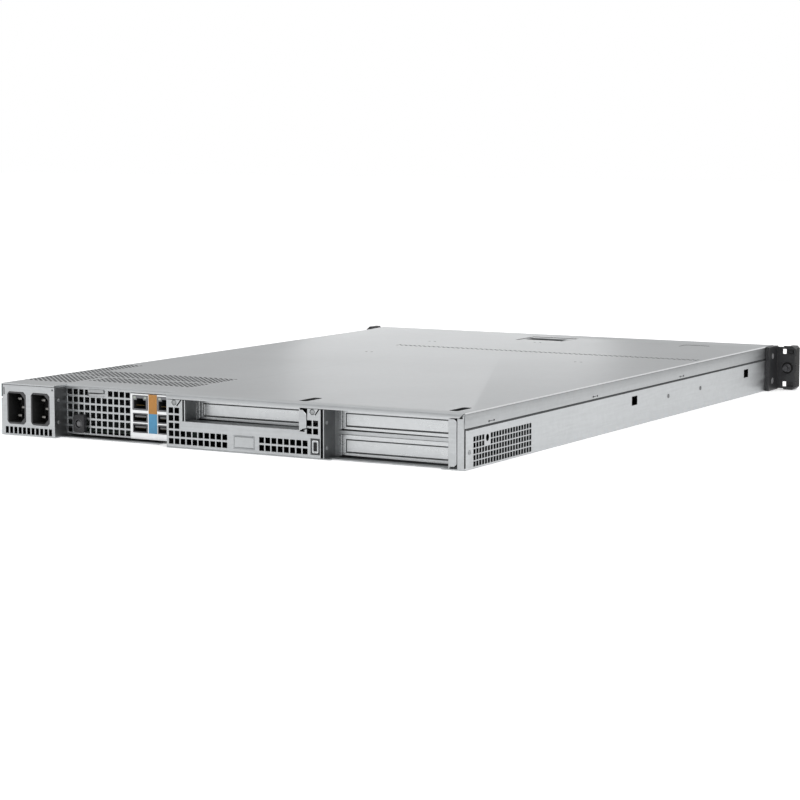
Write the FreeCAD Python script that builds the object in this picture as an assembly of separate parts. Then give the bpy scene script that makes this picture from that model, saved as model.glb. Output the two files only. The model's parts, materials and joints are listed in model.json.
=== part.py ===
"""One-unit rack server: zinc-plated chassis, lift-off cover, hot-swap drives and rear risers.

Millimetres. +Z is up, the rack side (drive bays) faces -Y, the connectors face +Y.
The origin lies under the centre of the machine. Depths are counted forward from the rear face.
"""
import FreeCAD, Part
import math
import os

Vector = FreeCAD.Vector
X_AXIS = Vector(1, 0, 0)
Y_AXIS = Vector(0, 1, 0)
Z_AXIS = Vector(0, 0, 1)

# ---------------------------------------------------------------- driving sizes
# Whole machine
CHASSIS_WIDTH = 436.0
CHASSIS_HEIGHT = 43.2
RACK_DEPTH = 640.0          # rear face to the rack posts
FRONT_PROUD = 18.0          # drive levers and ear caps in front of the rack posts
EAR_REACH = 23.3            # ear beyond the case side, 482.6 over both ears
SHEET = 1.0                 # zinc-coated steel sheet
BEND = 0.6                  # inside radius of a fold
GAP = 0.3                   # clearance between pieces that lift, slide or turn
FIT = 0.1                   # radial clearance of a pin in its bore
FACETS = 12                 # flats of a round piece
HEAD_FACETS = 8             # flats of a rivet or screw head

# Seam between the cover and the pan
COVER_SKIRT = 11.5          # height of the cover's side flanges
COVER_REAR_FLANGE = 4.0
PAN_LIP = 6.5               # inward lip along the top of each side wall
REAR_POST = 7.0             # rear return of the side wall

# Cover catches
CATCH_DEPTHS = (42.0, 228.0, 411.0)
CATCH_LENGTH = 9.0
CATCH_HEIGHT = 2.2
CATCH_DROP = 7.5            # catch below the top of the cover

# Side openings
VENT_COLUMNS = 21
VENT_ROWS = 5
VENT_PITCH = 4.67
VENT_HOLE = 3.7
VENT_FIRST_DEPTH = 14.7
VENT_FIRST_Z = 3.9
VENT_BLANK_COLUMNS = (4, 5)
VENT_BLANK_ROWS = (3, 4)
KEY_HOLE_RADIUS = 2.7
RAIL_HOLE_REAR_DEPTH = 308.0
RAIL_HOLE_SETBACK = 72.0    # front opening behind the rack posts
RAIL_HOLE_LENGTH = 10.0
RAIL_HOLE_HEIGHT = 7.0
RAIL_HOLE_Z = 22.0
SIDE_STUD_DEPTHS = (381.0, 454.6)
SIDE_STUD_Z = 18.8
CORNER_RIVET_DEPTH = 6.5
CORNER_RIVET_Z = 13.3
RIVET_RADIUS = 1.9
RIVET_HEAD = 0.4

# Rear face, divided from the +X side
RECESS_LEFT = 163.0         # side wall of the inlet bracket
RECESS_RIGHT = 51.3         # left edge of the centre riser
RECESS_DEPTH = 16.5
RISER_SPLIT = -92.3         # right edge of the centre riser
RISER_GAP = 2.2             # between the two riser cages
FLOOR_STEP = 9.0            # floor edge behind the recess
FLOOR_STEP_X = 66.0
FLOOR_TAB = 6.0
FLOOR_NOTCH = 4.0

# Mains inlets
INLET_WIDTH = 19.2
INLET_HEIGHT = 26.6
INLET_CORNER = 2.4
INLET_LENGTH = 25.0
INLET_X = (202.3, 177.7)
INLET_Z = 23.0
INLET_WALL = 1.3
INLET_CAVITY_DEPTH = 16.5
INLET_CHAMFER = 4.2
BLADE_WIDTH = 4.0
BLADE_THICKNESS = 2.0
BLADE_LENGTH = 15.0
BLADE_SPREAD = 7.0          # line and neutral from the middle
BLADE_OFFSET = 1.6
EARTH_OFFSET = -2.4
FOOT_SLOTS = 11
FOOT_SLOT_PITCH = 4.48
FOOT_SLOT_WIDTH = 3.2
FOOT_SLOT_Z = 1.6
FOOT_SLOT_HEIGHT = 5.5
BRACKET_RIVET_DEPTH = 5.8
BRACKET_RIVET_Z = (12.8, 31.0)
BRACKET_SLIT_HEIGHT = 6.0
BRACKET_SLIT_WIDTH = 0.7

# Recessed vent panel
MESH_HOLE = 4.5
PANEL_COLUMNS = 11
PANEL_ROWS = 6
PANEL_PITCH_X = 5.86
PANEL_PITCH_Z = 6.25
PANEL_LAST_X = 101.3
PANEL_FIRST_Z = 6.2
PANEL_EDGE_X = 98.6
PANEL_FOOT = 2.4
HASP_X = (124.3, 140.8)
HASP_Z = 34.9
HASP_HEIGHT = 2.3
HASP_PROUD = 3.0
HASP_WINDOW_TOP = 39.7
COVER_BAND = 3.2            # cover flange above the recess
HASP_TONGUE = 2.4

# Rear power button
BUTTON_BLOCK_X = 148.0
BUTTON_BLOCK_Z = 11.7
BUTTON_BLOCK_WIDTH = 11.0
BUTTON_BLOCK_HEIGHT = 14.9
BUTTON_BLOCK_PROUD = 4.5
BUTTON_WELL_RADIUS = 3.2
BUTTON_WELL_DEPTH = 3.2
REAR_BUTTON_RADIUS = 2.1
REAR_BUTTON_TRAVEL = 1.0
REAR_BUTTON_HEIGHT = 2.0

# Connector plate
IO_TOP = 39.4
IO_BOTTOM = 2.2
IO_SHEET = 0.8
JACK_COLUMN_X = (89.0, 64.3)
RJ45_WIDTH = 15.0
RJ45_HEIGHT = 11.6
RJ45_Z = 32.0
RJ45_DEPTH = 21.0
RJ45_MOUTH_WIDTH = 11.8
RJ45_MOUTH_HEIGHT = 6.9
RJ45_CLIP_WIDTH = 6.2
RJ45_CLIP_HEIGHT = 1.5
RJ45_MOUTH_DEPTH = 13.0
USB_WIDTH = 14.3
USB_HEIGHT = 6.9
USB_Z = (11.2, 19.8)
USB_DEPTH = 17.0
USB_WALL = 0.7
USB_TONGUE = 1.9
LABEL_X = 76.4
LABEL_WIDTH = 8.2
LABEL_Z = (7.5, 39.2)
LABEL_THICKNESS = 0.3

# Riser cages
RISER_FACE_TOP = 38.9
RISER_OPEN_LEFT = 34.4      # outer face of the centre slot's wall
RISER_OPEN_RIGHT = -72.8
RISER_OPEN_FLOOR = 20.9
RISER_SLIT = 1.6
TONGUE_WIDTH = 6.7
TONGUE_SLIT = 0.8
TONGUE_CORNER = 3.5
TONGUE_SLIT_Z = 30.0
CENTRE_MESH_X = 47.0
CENTRE_MESH_Z = 5.6
CENTRE_MESH_PITCH_X = 5.68
CENTRE_MESH_PITCH_Z = 6.15
CENTRE_MESH_COLUMNS = 10
CENTRE_MESH_TALL_COLUMNS = 2
CENTRE_MESH_TALL_ROWS = 5
CENTRE_MESH_LOW_ROWS = 2
RIGHT_MESH_X = -38.5
RIGHT_MESH_COLUMNS = 8
HIGH_MESH_X = -82.1
HIGH_MESH_Z = 21.5
HIGH_MESH_COUNT = 2
FIELD_X = (-32.0, -12.0)    # plain embossed field
FIELD_Z = (3.5, 14.0)
EMBOSS = 0.25
LOCK_X = -87.4
LOCK_Z = 9.7
LOCK_WIDTH = 7.2
LOCK_HEIGHT = 11.4
LOCK_SINK = 0.5
LOCK_SLOT_WIDTH = 3.2
LOCK_SLOT_HEIGHT = 7.0
FACE_RIVETS_X = (44.0, -84.8)
FACE_RIVET_Z = 36.5
RIGHT_JAMB_X = -203.5       # inner wall of the right riser opening
RIGHT_JAMB_TOP = 38.5
RIGHT_JAMB_BOTTOM = 2.6
CAGE_REACH = 92.0           # length of the right cage's wall
SLOT_PITCH = 20.32
SLOT_LOW_Z = 9.8
SLOT_COVER_WIDTH = 17.4
SLOT_COVER_LENGTH = 104.0
SLOT_COVER_SHEET = 0.9
SLOT_WINDOW = 10.8
SLOT_WINDOW_INSET = 6.0
SLOT_TRAY = 1.0
SLOT_TAB = 10.5
CAGE_RIVET_DEPTH = 4.1
CAGE_RIVET_Z = (8.8, 28.5)

# Cover openings
ACCESS_SLOTS_X = (-70.0, -202.0)
ACCESS_SLOT_DEPTHS = (9.0, 35.0)
ACCESS_SLOT_WIDTH = 5.0
TOP_SLOT = 6.0
TOP_PITCH = 9.5
TOP_RIB = 3.5
TOP_FIELDS = (              # x from, x to, depth from, depth to
    (170.0, 215.0, 30.0, 79.0),
    (199.0, 215.0, 83.0, 173.0),
    (60.0, 162.0, 49.0, 77.0),
    (60.0, 194.0, 83.0, 117.0),
)
TOP_FIELD_SLOTS = (1, 1, 3, 4)
FAN_BAND_X = (-212.0, 101.0)
FAN_BAND_SLOTS = 9

# Cover latch
LATCH_X = 2.5
LATCH_SETBACK = 50.0        # latch centre behind the rack posts
LATCH_WIDTH = 50.0
LATCH_LENGTH = 45.0
LATCH_TUB_DEPTH = 8.6
LATCH_WALL = 1.6
LATCH_LEVER_SHEET = 1.6
LATCH_FINGER_WIDTH = 41.0
LATCH_FINGER_LENGTH = 19.0
LATCH_PIN_RADIUS = 1.5
LATCH_PIN_DROP = 3.6
LATCH_PIN_INSET = 6.0
LATCH_ARM = 3.0
LATCH_NOSE = 1.4
LATCH_LEDGE = 2.0

# Rack ears
EAR_LEG = 22.0
EAR_THICKNESS = 4.0
EAR_FLANGE = 3.0
EAR_MARGIN = 0.4
EAR_STEP = 1.0
EAR_STEP_INSET = 12.8       # from the ear's outer edge
EAR_CORNER = 2.5
EAR_SLOT_INSET = 8.75       # 465.1 between the two ears' holes
EAR_SLOT_PITCH = 31.75
EAR_SLOT_LENGTH = 11.0
EAR_SLOT_HEIGHT = 5.0
EAR_BUMP = 1.2
EAR_BUMP_LENGTH = 7.0
EAR_SCREW_PITCH = 24.0
EAR_SCREW_HEAD = 3.3
EAR_SCREW_SINK = 1.6
EAR_SCREW_SETBACK = 11.0
CAP_WIDTH = 9.8
CAP_DEPTH = 11.0
CAP_CLEARANCE = 0.5
CAPTIVE_SHANK = 2.4
CAPTIVE_REACH = 8.0
CAPTIVE_COLLAR = 4.3
CAPTIVE_COLLAR_LENGTH = 1.4
CAPTIVE_KNOB = 4.6
CAPTIVE_KNOB_LENGTH = 9.0

# Mainboard and what stands on it
BOARD_X = (-90.0, 158.0)
BOARD_DEPTHS = (19.0, 349.0)
BOARD_THICKNESS = 1.6
STANDOFF_HEIGHT = 4.0
STANDOFF_RADIUS = 3.0
STANDOFF_INSET = 8.0
CPU_X = 33.0
CPU_DEPTH = 245.0
SINK_LENGTH = 96.0
SINK_WIDTH = 78.0
SINK_BASE = 4.0
SINK_TOP = 40.2
SINK_FINS = 13
FIN_THICKNESS = 1.0
SOCKET_SIZE = 62.0
SOCKET_HEIGHT = 6.0
DIMM_PITCH = 9.0
DIMMS_PER_SIDE = 4
DIMM_LENGTH = 133.0
DIMM_THICKNESS = 1.4
DIMM_HEIGHT = 31.2
DIMM_SLOT_WIDTH = 6.2
DIMM_SLOT_LENGTH = 142.0
DIMM_SLOT_HEIGHT = 5.0
DIMM_SEAT = 2.4
DIMM_GAP = 8.0
EJECTOR_HEIGHT = 18.0
CHIPSET_X = 120.0
CHIPSET_DEPTH = 110.0
CHIPSET_SIZE = 40.0
CHIPSET_HEIGHT = 14.0
CHIPSET_FINS = 6
CELL_X = 66.0
CELL_DEPTH = 150.0
CELL_RADIUS = 10.0
CELL_HEIGHT = 3.2
RISER_SOCKET_WIDTH = 8.0
RISER_SOCKET_HEIGHT = 9.0
RISER_CARD_DEPTH = 21.0
RISER_CARD_LENGTH = 68.0
RISER_CARD_THICKNESS = 1.6
RISER_CARD_TOP = 40.0
CARD_SLOT_LENGTH = 60.0
CARD_SLOT_WIDTH = 7.5
CARD_SLOT_HEIGHT = 11.0

# Power supplies
PSU_WIDTH = 50.0
PSU_HEIGHT = 39.5
PSU_LENGTH = 182.0
PSU_FIRST_DEPTH = 32.0
PSU_SPACE = 8.0
PSU_GRILLE_RADIUS = 17.0
PSU_GRILLE_SINK = 3.0
DIVIDER_SHEET = 0.8

# Fan wall
FAN_COUNT = 5
FAN_SIZE = 40.0
FAN_LENGTH = 28.0
FAN_PITCH = 64.0
FAN_FIRST_X = -183.0
FAN_SETBACK = 178.0         # fan centre behind the rack posts
FAN_BORE = 19.4              # over the corners
FAN_HUB = 9.0
FAN_BLADES = 5
FAN_BLADE_TIP = 17.6
FAN_BLADE_THICKNESS = 1.1
FAN_BLADE_CHORD = 16.0
FAN_BLADE_PITCH = 38.0
FAN_ROTOR_LENGTH = 17.0
FAN_STRUT = 3.0
BRACKET_BASE = 0.8
BRACKET_LIP = 12.0
BAFFLE_SHEET = 1.2

# Front drive bays
BAY_COUNT = 4
BAY_PITCH = 106.3
DIVIDER = 1.1
CARRIER_LENGTH = 150.0
CARRIER_BEZEL = 12.0
CARRIER_PROUD = 11.5
CARRIER_TOP = 31.4
CARRIER_SHEET = 1.0
CAGE_LENGTH = 152.8
DRIVE_WIDTH = 101.6
DRIVE_LENGTH = 147.0
DRIVE_HEIGHT = 26.1
LEVER_LENGTH = 88.0
LEVER_HEIGHT = 23.0
LEVER_THICKNESS = 5.4
LEVER_PIN = 1.3
LEVER_FRAME = 4.0
LEVER_RIB = 3.0
LEVER_GRIP = 8.0
LEVER_WINDOWS = 2
BACKPLANE_SETBACK = 0.2     # behind the cage
BACKPLANE_THICKNESS = 1.6
BACKPLANE_TOP = 40.5
PLUG_WIDTH = 40.0
PLUG_HEIGHT = 5.0

# Front face
FASCIA_SHEET = 1.2
STRIP_SLOT_LENGTH = 46.0
STRIP_SLOT_HEIGHT = 4.0
STRIP_SLOT_PITCH = 54.0
STRIP_SLOTS = 6
STRIP_FIRST_X = -105.0
FRONT_BUTTON_X = -196.0
FRONT_BUTTON_RADIUS = 3.4
FRONT_BUTTON_TRAVEL = 1.5
FRONT_BUTTON_PROUD = 2.0
FRONT_BUTTON_LENGTH = 8.0
FRONT_USB_X = (-172.0, -152.0)
FRONT_MODULE_DEPTH = 20.0

# ---------------------------------------------------------------- derived places
REAR_Y = (RACK_DEPTH + FRONT_PROUD) / 2
SIDE = CHASSIS_WIDTH / 2
PANEL_SIDE = SIDE + EAR_REACH
EAR_SLOT_X = PANEL_SIDE - EAR_SLOT_INSET
EAR_STEP_X = PANEL_SIDE - EAR_STEP_INSET
EAR_SCREW_DEPTH = RACK_DEPTH - EAR_SCREW_SETBACK
LATCH_DEPTH = RACK_DEPTH - LATCH_SETBACK
FAN_DEPTH = RACK_DEPTH - FAN_SETBACK
BACKPLANE_DEPTH = RACK_DEPTH - CAGE_LENGTH - BACKPLANE_SETBACK
JOGGLE = SHEET + GAP
UPPER_SIDE = SIDE - JOGGLE
COVER_UNDER = CHASSIS_HEIGHT - SHEET
WALL_TOP = COVER_UNDER - GAP
SEAM_TOP = CHASSIS_HEIGHT - COVER_SKIRT
SEAM_LOW = SEAM_TOP - JOGGLE
PANEL_DEPTH = RECESS_DEPTH + GAP
BOARD_TOP = SHEET + STANDOFF_HEIGHT + BOARD_THICKNESS
RIGHT_CAGE_X = RISER_SPLIT - RISER_GAP
FASCIA_DEPTH = RACK_DEPTH + FASCIA_SHEET
CAGE_TOP = CARRIER_TOP + GAP
STRIP_Z = (CAGE_TOP + DIVIDER + WALL_TOP) / 2
EAR_MIDDLE = CHASSIS_HEIGHT / 2
LEVER_KNUCKLE = LEVER_THICKNESS / 2


# ---------------------------------------------------------------- shape helpers
def block(x, depths, z):
    """A box between two X values, two depths from the rear face and two heights."""
    low_x, high_x = sorted(x)
    near, far = sorted(depths)
    low_z, high_z = sorted(z)
    corner = Vector(low_x, REAR_Y - far, low_z)
    return Part.makeBox(high_x - low_x, far - near, high_z - low_z, corner)


def around(centre, size):
    """The two ends of a size centred on a value."""
    return (centre - size / 2, centre + size / 2)


def rod_y(x, z, radius, depths):
    """A round bar along Y between two depths."""
    near, far = sorted(depths)
    return Part.makeCylinder(radius, far - near, Vector(x, REAR_Y - far, z), Y_AXIS)


def prism(points, direction):
    """A polygon's face run along a direction."""
    return Part.Face(Part.makePolygon(points + [points[0]])).extrude(direction)


def flat_sided(centre, across, axis, length, radius, sides=FACETS):
    """A bar with many flats, used for small and hidden round pieces and their bores."""
    points = []
    for index in range(sides):
        angle = 2 * math.pi * (index + 0.5) / sides
        points.append(centre + across[0] * (radius * math.cos(angle)) + across[1] * (radius * math.sin(angle)))
    return prism(points, axis * length)


def bar_y(x, z, radius, depths, sides=FACETS):
    """A many-sided bar along Y between two depths."""
    near, far = sorted(depths)
    return flat_sided(Vector(x, REAR_Y - far, z), (X_AXIS, Z_AXIS), Y_AXIS, far - near, radius, sides)


def bar_x(depth, z, radius, x, sides=FACETS):
    """A many-sided bar along X."""
    low, high = sorted(x)
    return flat_sided(Vector(low, REAR_Y - depth, z), (Y_AXIS, Z_AXIS), X_AXIS, high - low, radius, sides)


def bar_z(x, depth, radius, z, sides=FACETS):
    """A many-sided bar along Z."""
    low, high = sorted(z)
    return flat_sided(Vector(x, REAR_Y - depth, low), (X_AXIS, Y_AXIS), Z_AXIS, high - low, radius, sides)


def around_bar(radius):
    """The corner radius of a many-sided bore that clears a bar of this radius."""
    return (radius + FIT) / math.cos(math.pi / FACETS)


def join(shapes):
    """One solid from pieces that touch or overlap."""
    return shapes[0].multiFuse(shapes[1:]).removeSplitter()


def cut(shape, tools):
    """The shape less a list of tools."""
    return shape.cut(Part.makeCompound(tools))


def chamfer(shape, axis, size, keep=lambda edge: True):
    """Cut the straight edges that run along one axis."""
    edges = []
    for edge in shape.Edges:
        if len(edge.Vertexes) < 2:
            continue
        run = edge.Vertexes[1].Point - edge.Vertexes[0].Point
        if run.Length > 0 and abs(run.normalize().dot(axis)) > 0.999 and keep(edge):
            edges.append(edge)
    return shape.makeChamfer(size, edges)


def outline(points, radii):
    """A closed wire in the XZ plane whose corners are rounded by the radii given."""
    corners = [Vector(x, 0, z) for x, z in points]
    count = len(corners)
    starts, ends, middles = [], [], []
    for index in range(count):
        here = corners[index]
        radius = radii[index]
        if radius <= 0:
            starts.append(here)
            ends.append(here)
            middles.append(None)
            continue
        back = (corners[index - 1] - here).normalize()
        ahead = (corners[(index + 1) % count] - here).normalize()
        half = back.getAngle(ahead) / 2
        reach = radius / math.tan(half)
        inward = (back + ahead).normalize()
        centre = here + inward * (radius / math.sin(half))
        starts.append(here + back * reach)
        ends.append(here + ahead * reach)
        middles.append(centre - inward * radius)
    edges = []
    for index in range(count):
        if middles[index] is not None:
            edges.append(Part.Arc(starts[index], middles[index], ends[index]).toShape())
        following = starts[(index + 1) % count]
        if (following - ends[index]).Length > 1e-6:
            edges.append(Part.LineSegment(ends[index], following).toShape())
    return Part.Wire(edges)


def plate(points, radii, depths):
    """A flat piece with the XZ outline given, between two depths."""
    near, far = sorted(depths)
    face = Part.Face(outline(points, radii))
    solid = face.extrude(Vector(0, far - near, 0))
    solid.translate(Vector(0, REAR_Y - far, 0))
    return solid


def folded(path, depths, sheet=SHEET, sharp=()):
    """A sheet folded along an XZ path of its outer face, lying to the left of the path."""
    normals = []
    for (ax, az), (bx, bz) in zip(path, path[1:]):
        length = math.hypot(bx - ax, bz - az)
        normals.append((-(bz - az) / length, (bx - ax) / length))
    inner, outer_radii, inner_radii = [], [], []
    for index, (x, z) in enumerate(path):
        before = normals[max(index - 1, 0)]
        after = normals[min(index, len(normals) - 1)]
        scale = sheet / (1 + before[0] * after[0] + before[1] * after[1])
        inner.append((x + (before[0] + after[0]) * scale, z + (before[1] + after[1]) * scale))
        turn = before[0] * after[1] - before[1] * after[0]
        if abs(turn) < 1e-6 or index in sharp:
            outer_radii.append(0)
            inner_radii.append(0)
        elif turn > 0:
            outer_radii.append(BEND + sheet)
            inner_radii.append(BEND)
        else:
            outer_radii.append(BEND)
            inner_radii.append(BEND + sheet)
    points = list(path) + inner[::-1]
    return plate(points, outer_radii + inner_radii[::-1], depths)


def cut_plate(x, z, corner, depths):
    """A rectangular flat piece with its four corners cut at 45 degrees."""
    (x0, x1), (z0, z1) = sorted(x), sorted(z)
    points = [
        (x0 + corner, z0), (x1 - corner, z0), (x1, z0 + corner), (x1, z1 - corner),
        (x1 - corner, z1), (x0 + corner, z1), (x0, z1 - corner), (x0, z0 + corner),
    ]
    return plate(points, [0] * len(points), depths)


def mesh_tools(first_x, first_z, columns, rows, pitch_x, pitch_z, depths):
    """Square punches in rows, counted towards -X and upward."""
    tools = []
    for column in range(columns):
        for row in range(rows):
            x = around(first_x - column * pitch_x, MESH_HOLE)
            z = around(first_z + row * pitch_z, MESH_HOLE)
            tools.append(block(x, depths, z))
    return tools


def rivet_x(depth, z, outer_x, direction):
    """A flat-headed rivet whose head lies on a wall facing +X or -X."""
    return bar_x(depth, z, RIVET_RADIUS, (outer_x, outer_x + direction * RIVET_HEAD), HEAD_FACETS)


# ---------------------------------------------------------------- chassis and cover
def chassis_base():
    """The pan: floor, joggled side walls, rear post and every opening in them."""
    path = [
        (-(UPPER_SIDE - PAN_LIP), WALL_TOP),
        (-UPPER_SIDE, WALL_TOP),
        (-UPPER_SIDE, SEAM_TOP),
        (-SIDE, SEAM_LOW),
        (-SIDE, 0),
        (SIDE, 0),
        (SIDE, SEAM_LOW),
        (UPPER_SIDE, SEAM_TOP),
        (UPPER_SIDE, WALL_TOP),
        (UPPER_SIDE - PAN_LIP, WALL_TOP),
    ]
    pan = folded(path, (0, RACK_DEPTH), sharp=(1, 2, 3, 6, 7, 8))
    post_inner = -SIDE + REAR_POST
    post_top = CHASSIS_HEIGHT - COVER_REAR_FLANGE - GAP
    post = [
        (-SIDE, 0),
        (post_inner, 0),
        (post_inner, post_top),
        (-UPPER_SIDE + SHEET, post_top),
        (-UPPER_SIDE, WALL_TOP),
        (-UPPER_SIDE, SEAM_TOP),
        (-SIDE, SEAM_LOW),
    ]
    pan = join([pan, plate(post, [0] * len(post), (0, SHEET))])
    floor = (-SHEET, SHEET * 2)
    lip_end = (-UPPER_SIDE + SHEET, -UPPER_SIDE + PAN_LIP + SHEET)
    tools = [
        block(lip_end, (-SHEET, SHEET + GAP), (post_top, CHASSIS_HEIGHT)),
        block((-SIDE, lip_end[0]), (-SHEET, SHEET + GAP), (WALL_TOP - SHEET, CHASSIS_HEIGHT)),
        block((RECESS_LEFT, SIDE + SHEET), (-SHEET, SHEET), (-SHEET, CHASSIS_HEIGHT)),
        block((FLOOR_STEP_X, RECESS_LEFT), (-SHEET, FLOOR_STEP), floor),
        block((RECESS_RIGHT, FLOOR_STEP_X), (-SHEET, RECESS_DEPTH), floor),
        block((RIGHT_CAGE_X - FLOOR_TAB, RIGHT_JAMB_X + FLOOR_TAB), (-SHEET, FLOOR_NOTCH), floor),
    ]
    side_wall = (-SIDE - SHEET, -SIDE + SHEET * 2)
    for column in range(VENT_COLUMNS):
        for row in range(VENT_ROWS):
            if column in VENT_BLANK_COLUMNS and row in VENT_BLANK_ROWS:
                continue
            depth = VENT_FIRST_DEPTH + column * VENT_PITCH
            z = VENT_FIRST_Z + row * VENT_PITCH
            tools.append(block(side_wall, around(depth, VENT_HOLE), around(z, VENT_HOLE)))
    key_depth = VENT_FIRST_DEPTH + sum(VENT_BLANK_COLUMNS) / 2 * VENT_PITCH
    key_z = VENT_FIRST_Z + VENT_BLANK_ROWS[1] * VENT_PITCH - VENT_PITCH / 4
    tools.append(bar_x(key_depth, key_z, KEY_HOLE_RADIUS, side_wall))
    both_walls = (-SIDE - SHEET, SIDE + SHEET)
    for depth in (RAIL_HOLE_REAR_DEPTH, RACK_DEPTH - RAIL_HOLE_SETBACK):
        hole_z = around(RAIL_HOLE_Z, RAIL_HOLE_HEIGHT)
        tools.append(block(both_walls, around(depth, RAIL_HOLE_LENGTH), hole_z))
    notch_z = (CHASSIS_HEIGHT - CATCH_DROP - CATCH_HEIGHT - GAP, CHASSIS_HEIGHT)
    for side in (-1, 1):
        for depth in CATCH_DEPTHS:
            notch_x = (side * (SIDE + SHEET), side * (UPPER_SIDE - PAN_LIP / 2))
            tools.append(block(notch_x, around(depth, CATCH_LENGTH + GAP * 4), notch_z))
    return join([cut(pan, tools), psu_divider()] + standoffs())


def top_cover():
    """The lift-off lid: skirts, stepped rear flange, catches and its openings."""
    path = [(SIDE, SEAM_TOP), (SIDE, CHASSIS_HEIGHT), (-SIDE, CHASSIS_HEIGHT), (-SIDE, SEAM_TOP)]
    lid = folded(path, (0, RACK_DEPTH))
    ear_start = RACK_DEPTH - EAR_LEG - GAP
    skirt_z = (0, COVER_UNDER - BEND)
    flange_low = CHASSIS_HEIGHT - COVER_REAR_FLANGE
    mitre = COVER_REAR_FLANGE - SHEET
    flange = [
        (RECESS_RIGHT, flange_low),
        (RECESS_RIGHT, CHASSIS_HEIGHT - SHEET / 2),
        (-SIDE + SHEET, CHASSIS_HEIGHT - SHEET / 2),
        (-SIDE + SHEET + mitre, flange_low),
    ]
    band_low = CHASSIS_HEIGHT - COVER_BAND
    band_depths = (RECESS_DEPTH - SHEET, RECESS_DEPTH)
    band_z = (band_low, CHASSIS_HEIGHT - SHEET / 2)
    tongue_x = (HASP_X[0] + GAP, HASP_X[1] - GAP)
    catches = []
    catch_z = CHASSIS_HEIGHT - CATCH_DROP
    for side in (-1, 1):
        for depth in CATCH_DEPTHS:
            x = (side * (SIDE - SHEET / 2), side * (UPPER_SIDE - SHEET - GAP))
            catches.append(block(x, around(depth, CATCH_LENGTH), (catch_z - CATCH_HEIGHT, catch_z)))
    lid = cut(lid, [
        block((RECESS_RIGHT, RECESS_LEFT), (-SHEET, RECESS_DEPTH - SHEET), (0, CHASSIS_HEIGHT + SHEET)),
        block((SIDE + SHEET, SIDE - SHEET - BEND), (ear_start, RACK_DEPTH + SHEET), skirt_z),
        block((-SIDE - SHEET, -SIDE + SHEET + BEND), (ear_start, RACK_DEPTH + SHEET), skirt_z),
    ])
    lid = join([
        lid,
        plate(flange, [0] * len(flange), (0, SHEET)),
        block((RECESS_RIGHT, RECESS_LEFT), band_depths, band_z),
        block(tongue_x, band_depths, (band_low - HASP_TONGUE, band_low)),
    ] + catches)
    through = (COVER_UNDER - SHEET, CHASSIS_HEIGHT + SHEET)
    tools = []
    for x in ACCESS_SLOTS_X:
        slot = block(around(x, ACCESS_SLOT_WIDTH), ACCESS_SLOT_DEPTHS, through)
        tools.append(chamfer(slot, Z_AXIS, ACCESS_SLOT_WIDTH / 3))
    latch_x = around(LATCH_X, LATCH_WIDTH + GAP * 2)
    tools.append(block(latch_x, around(LATCH_DEPTH, LATCH_LENGTH + GAP * 2), through))
    band_depths = around(FAN_DEPTH, TOP_SLOT + SHEET)
    fields = list(zip(TOP_FIELDS, TOP_FIELD_SLOTS)) + [(FAN_BAND_X + band_depths, FAN_BAND_SLOTS)]
    for (x0, x1, depth0, depth1), columns in fields:
        rows = int((depth1 - depth0 - TOP_SLOT) / TOP_PITCH) + 1
        step = (x1 - x0 + TOP_RIB) / columns
        for column in range(columns):
            for row in range(rows):
                x = (x0 + column * step, x0 + (column + 1) * step - TOP_RIB)
                depths = (depth0 + row * TOP_PITCH, depth0 + row * TOP_PITCH + TOP_SLOT)
                tools.append(block(x, depths, through))
    return cut(lid, tools)


def latch_housing():
    """The plastic tub that the cover's lever lies in."""
    x = around(LATCH_X, LATCH_WIDTH)
    depths = around(LATCH_DEPTH, LATCH_LENGTH)
    bottom = CHASSIS_HEIGHT - LATCH_TUB_DEPTH
    flange = LATCH_WALL * 2
    tub = block(x, depths, (bottom, CHASSIS_HEIGHT - FIT))
    rim = block((x[0] - flange, x[1] + flange), (depths[0] - flange, depths[1] + flange),
                (COVER_UNDER - SHEET, COVER_UNDER))
    hollow = block((x[0] + LATCH_WALL, x[1] - LATCH_WALL),
                   (depths[0] + LATCH_WALL, depths[1] - LATCH_WALL),
                   (bottom + LATCH_WALL, CHASSIS_HEIGHT + SHEET))
    ledge_top = CHASSIS_HEIGHT - FIT * 2 - LATCH_LEVER_SHEET - GAP
    ledge = block(around(LATCH_X, LATCH_FINGER_WIDTH), (depths[0] + LATCH_WALL, depths[0] + LATCH_WALL + LATCH_LEDGE),
                  (bottom + LATCH_WALL, ledge_top))
    pivot_depth = depths[1] - LATCH_PIN_INSET
    pivot_z = CHASSIS_HEIGHT - LATCH_PIN_DROP
    bore = bar_x(pivot_depth, pivot_z, around_bar(LATCH_PIN_RADIUS), (x[0] - SHEET, x[1] + SHEET))
    return join([join([tub, rim]).cut(hollow), ledge]).cut(bore)


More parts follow.
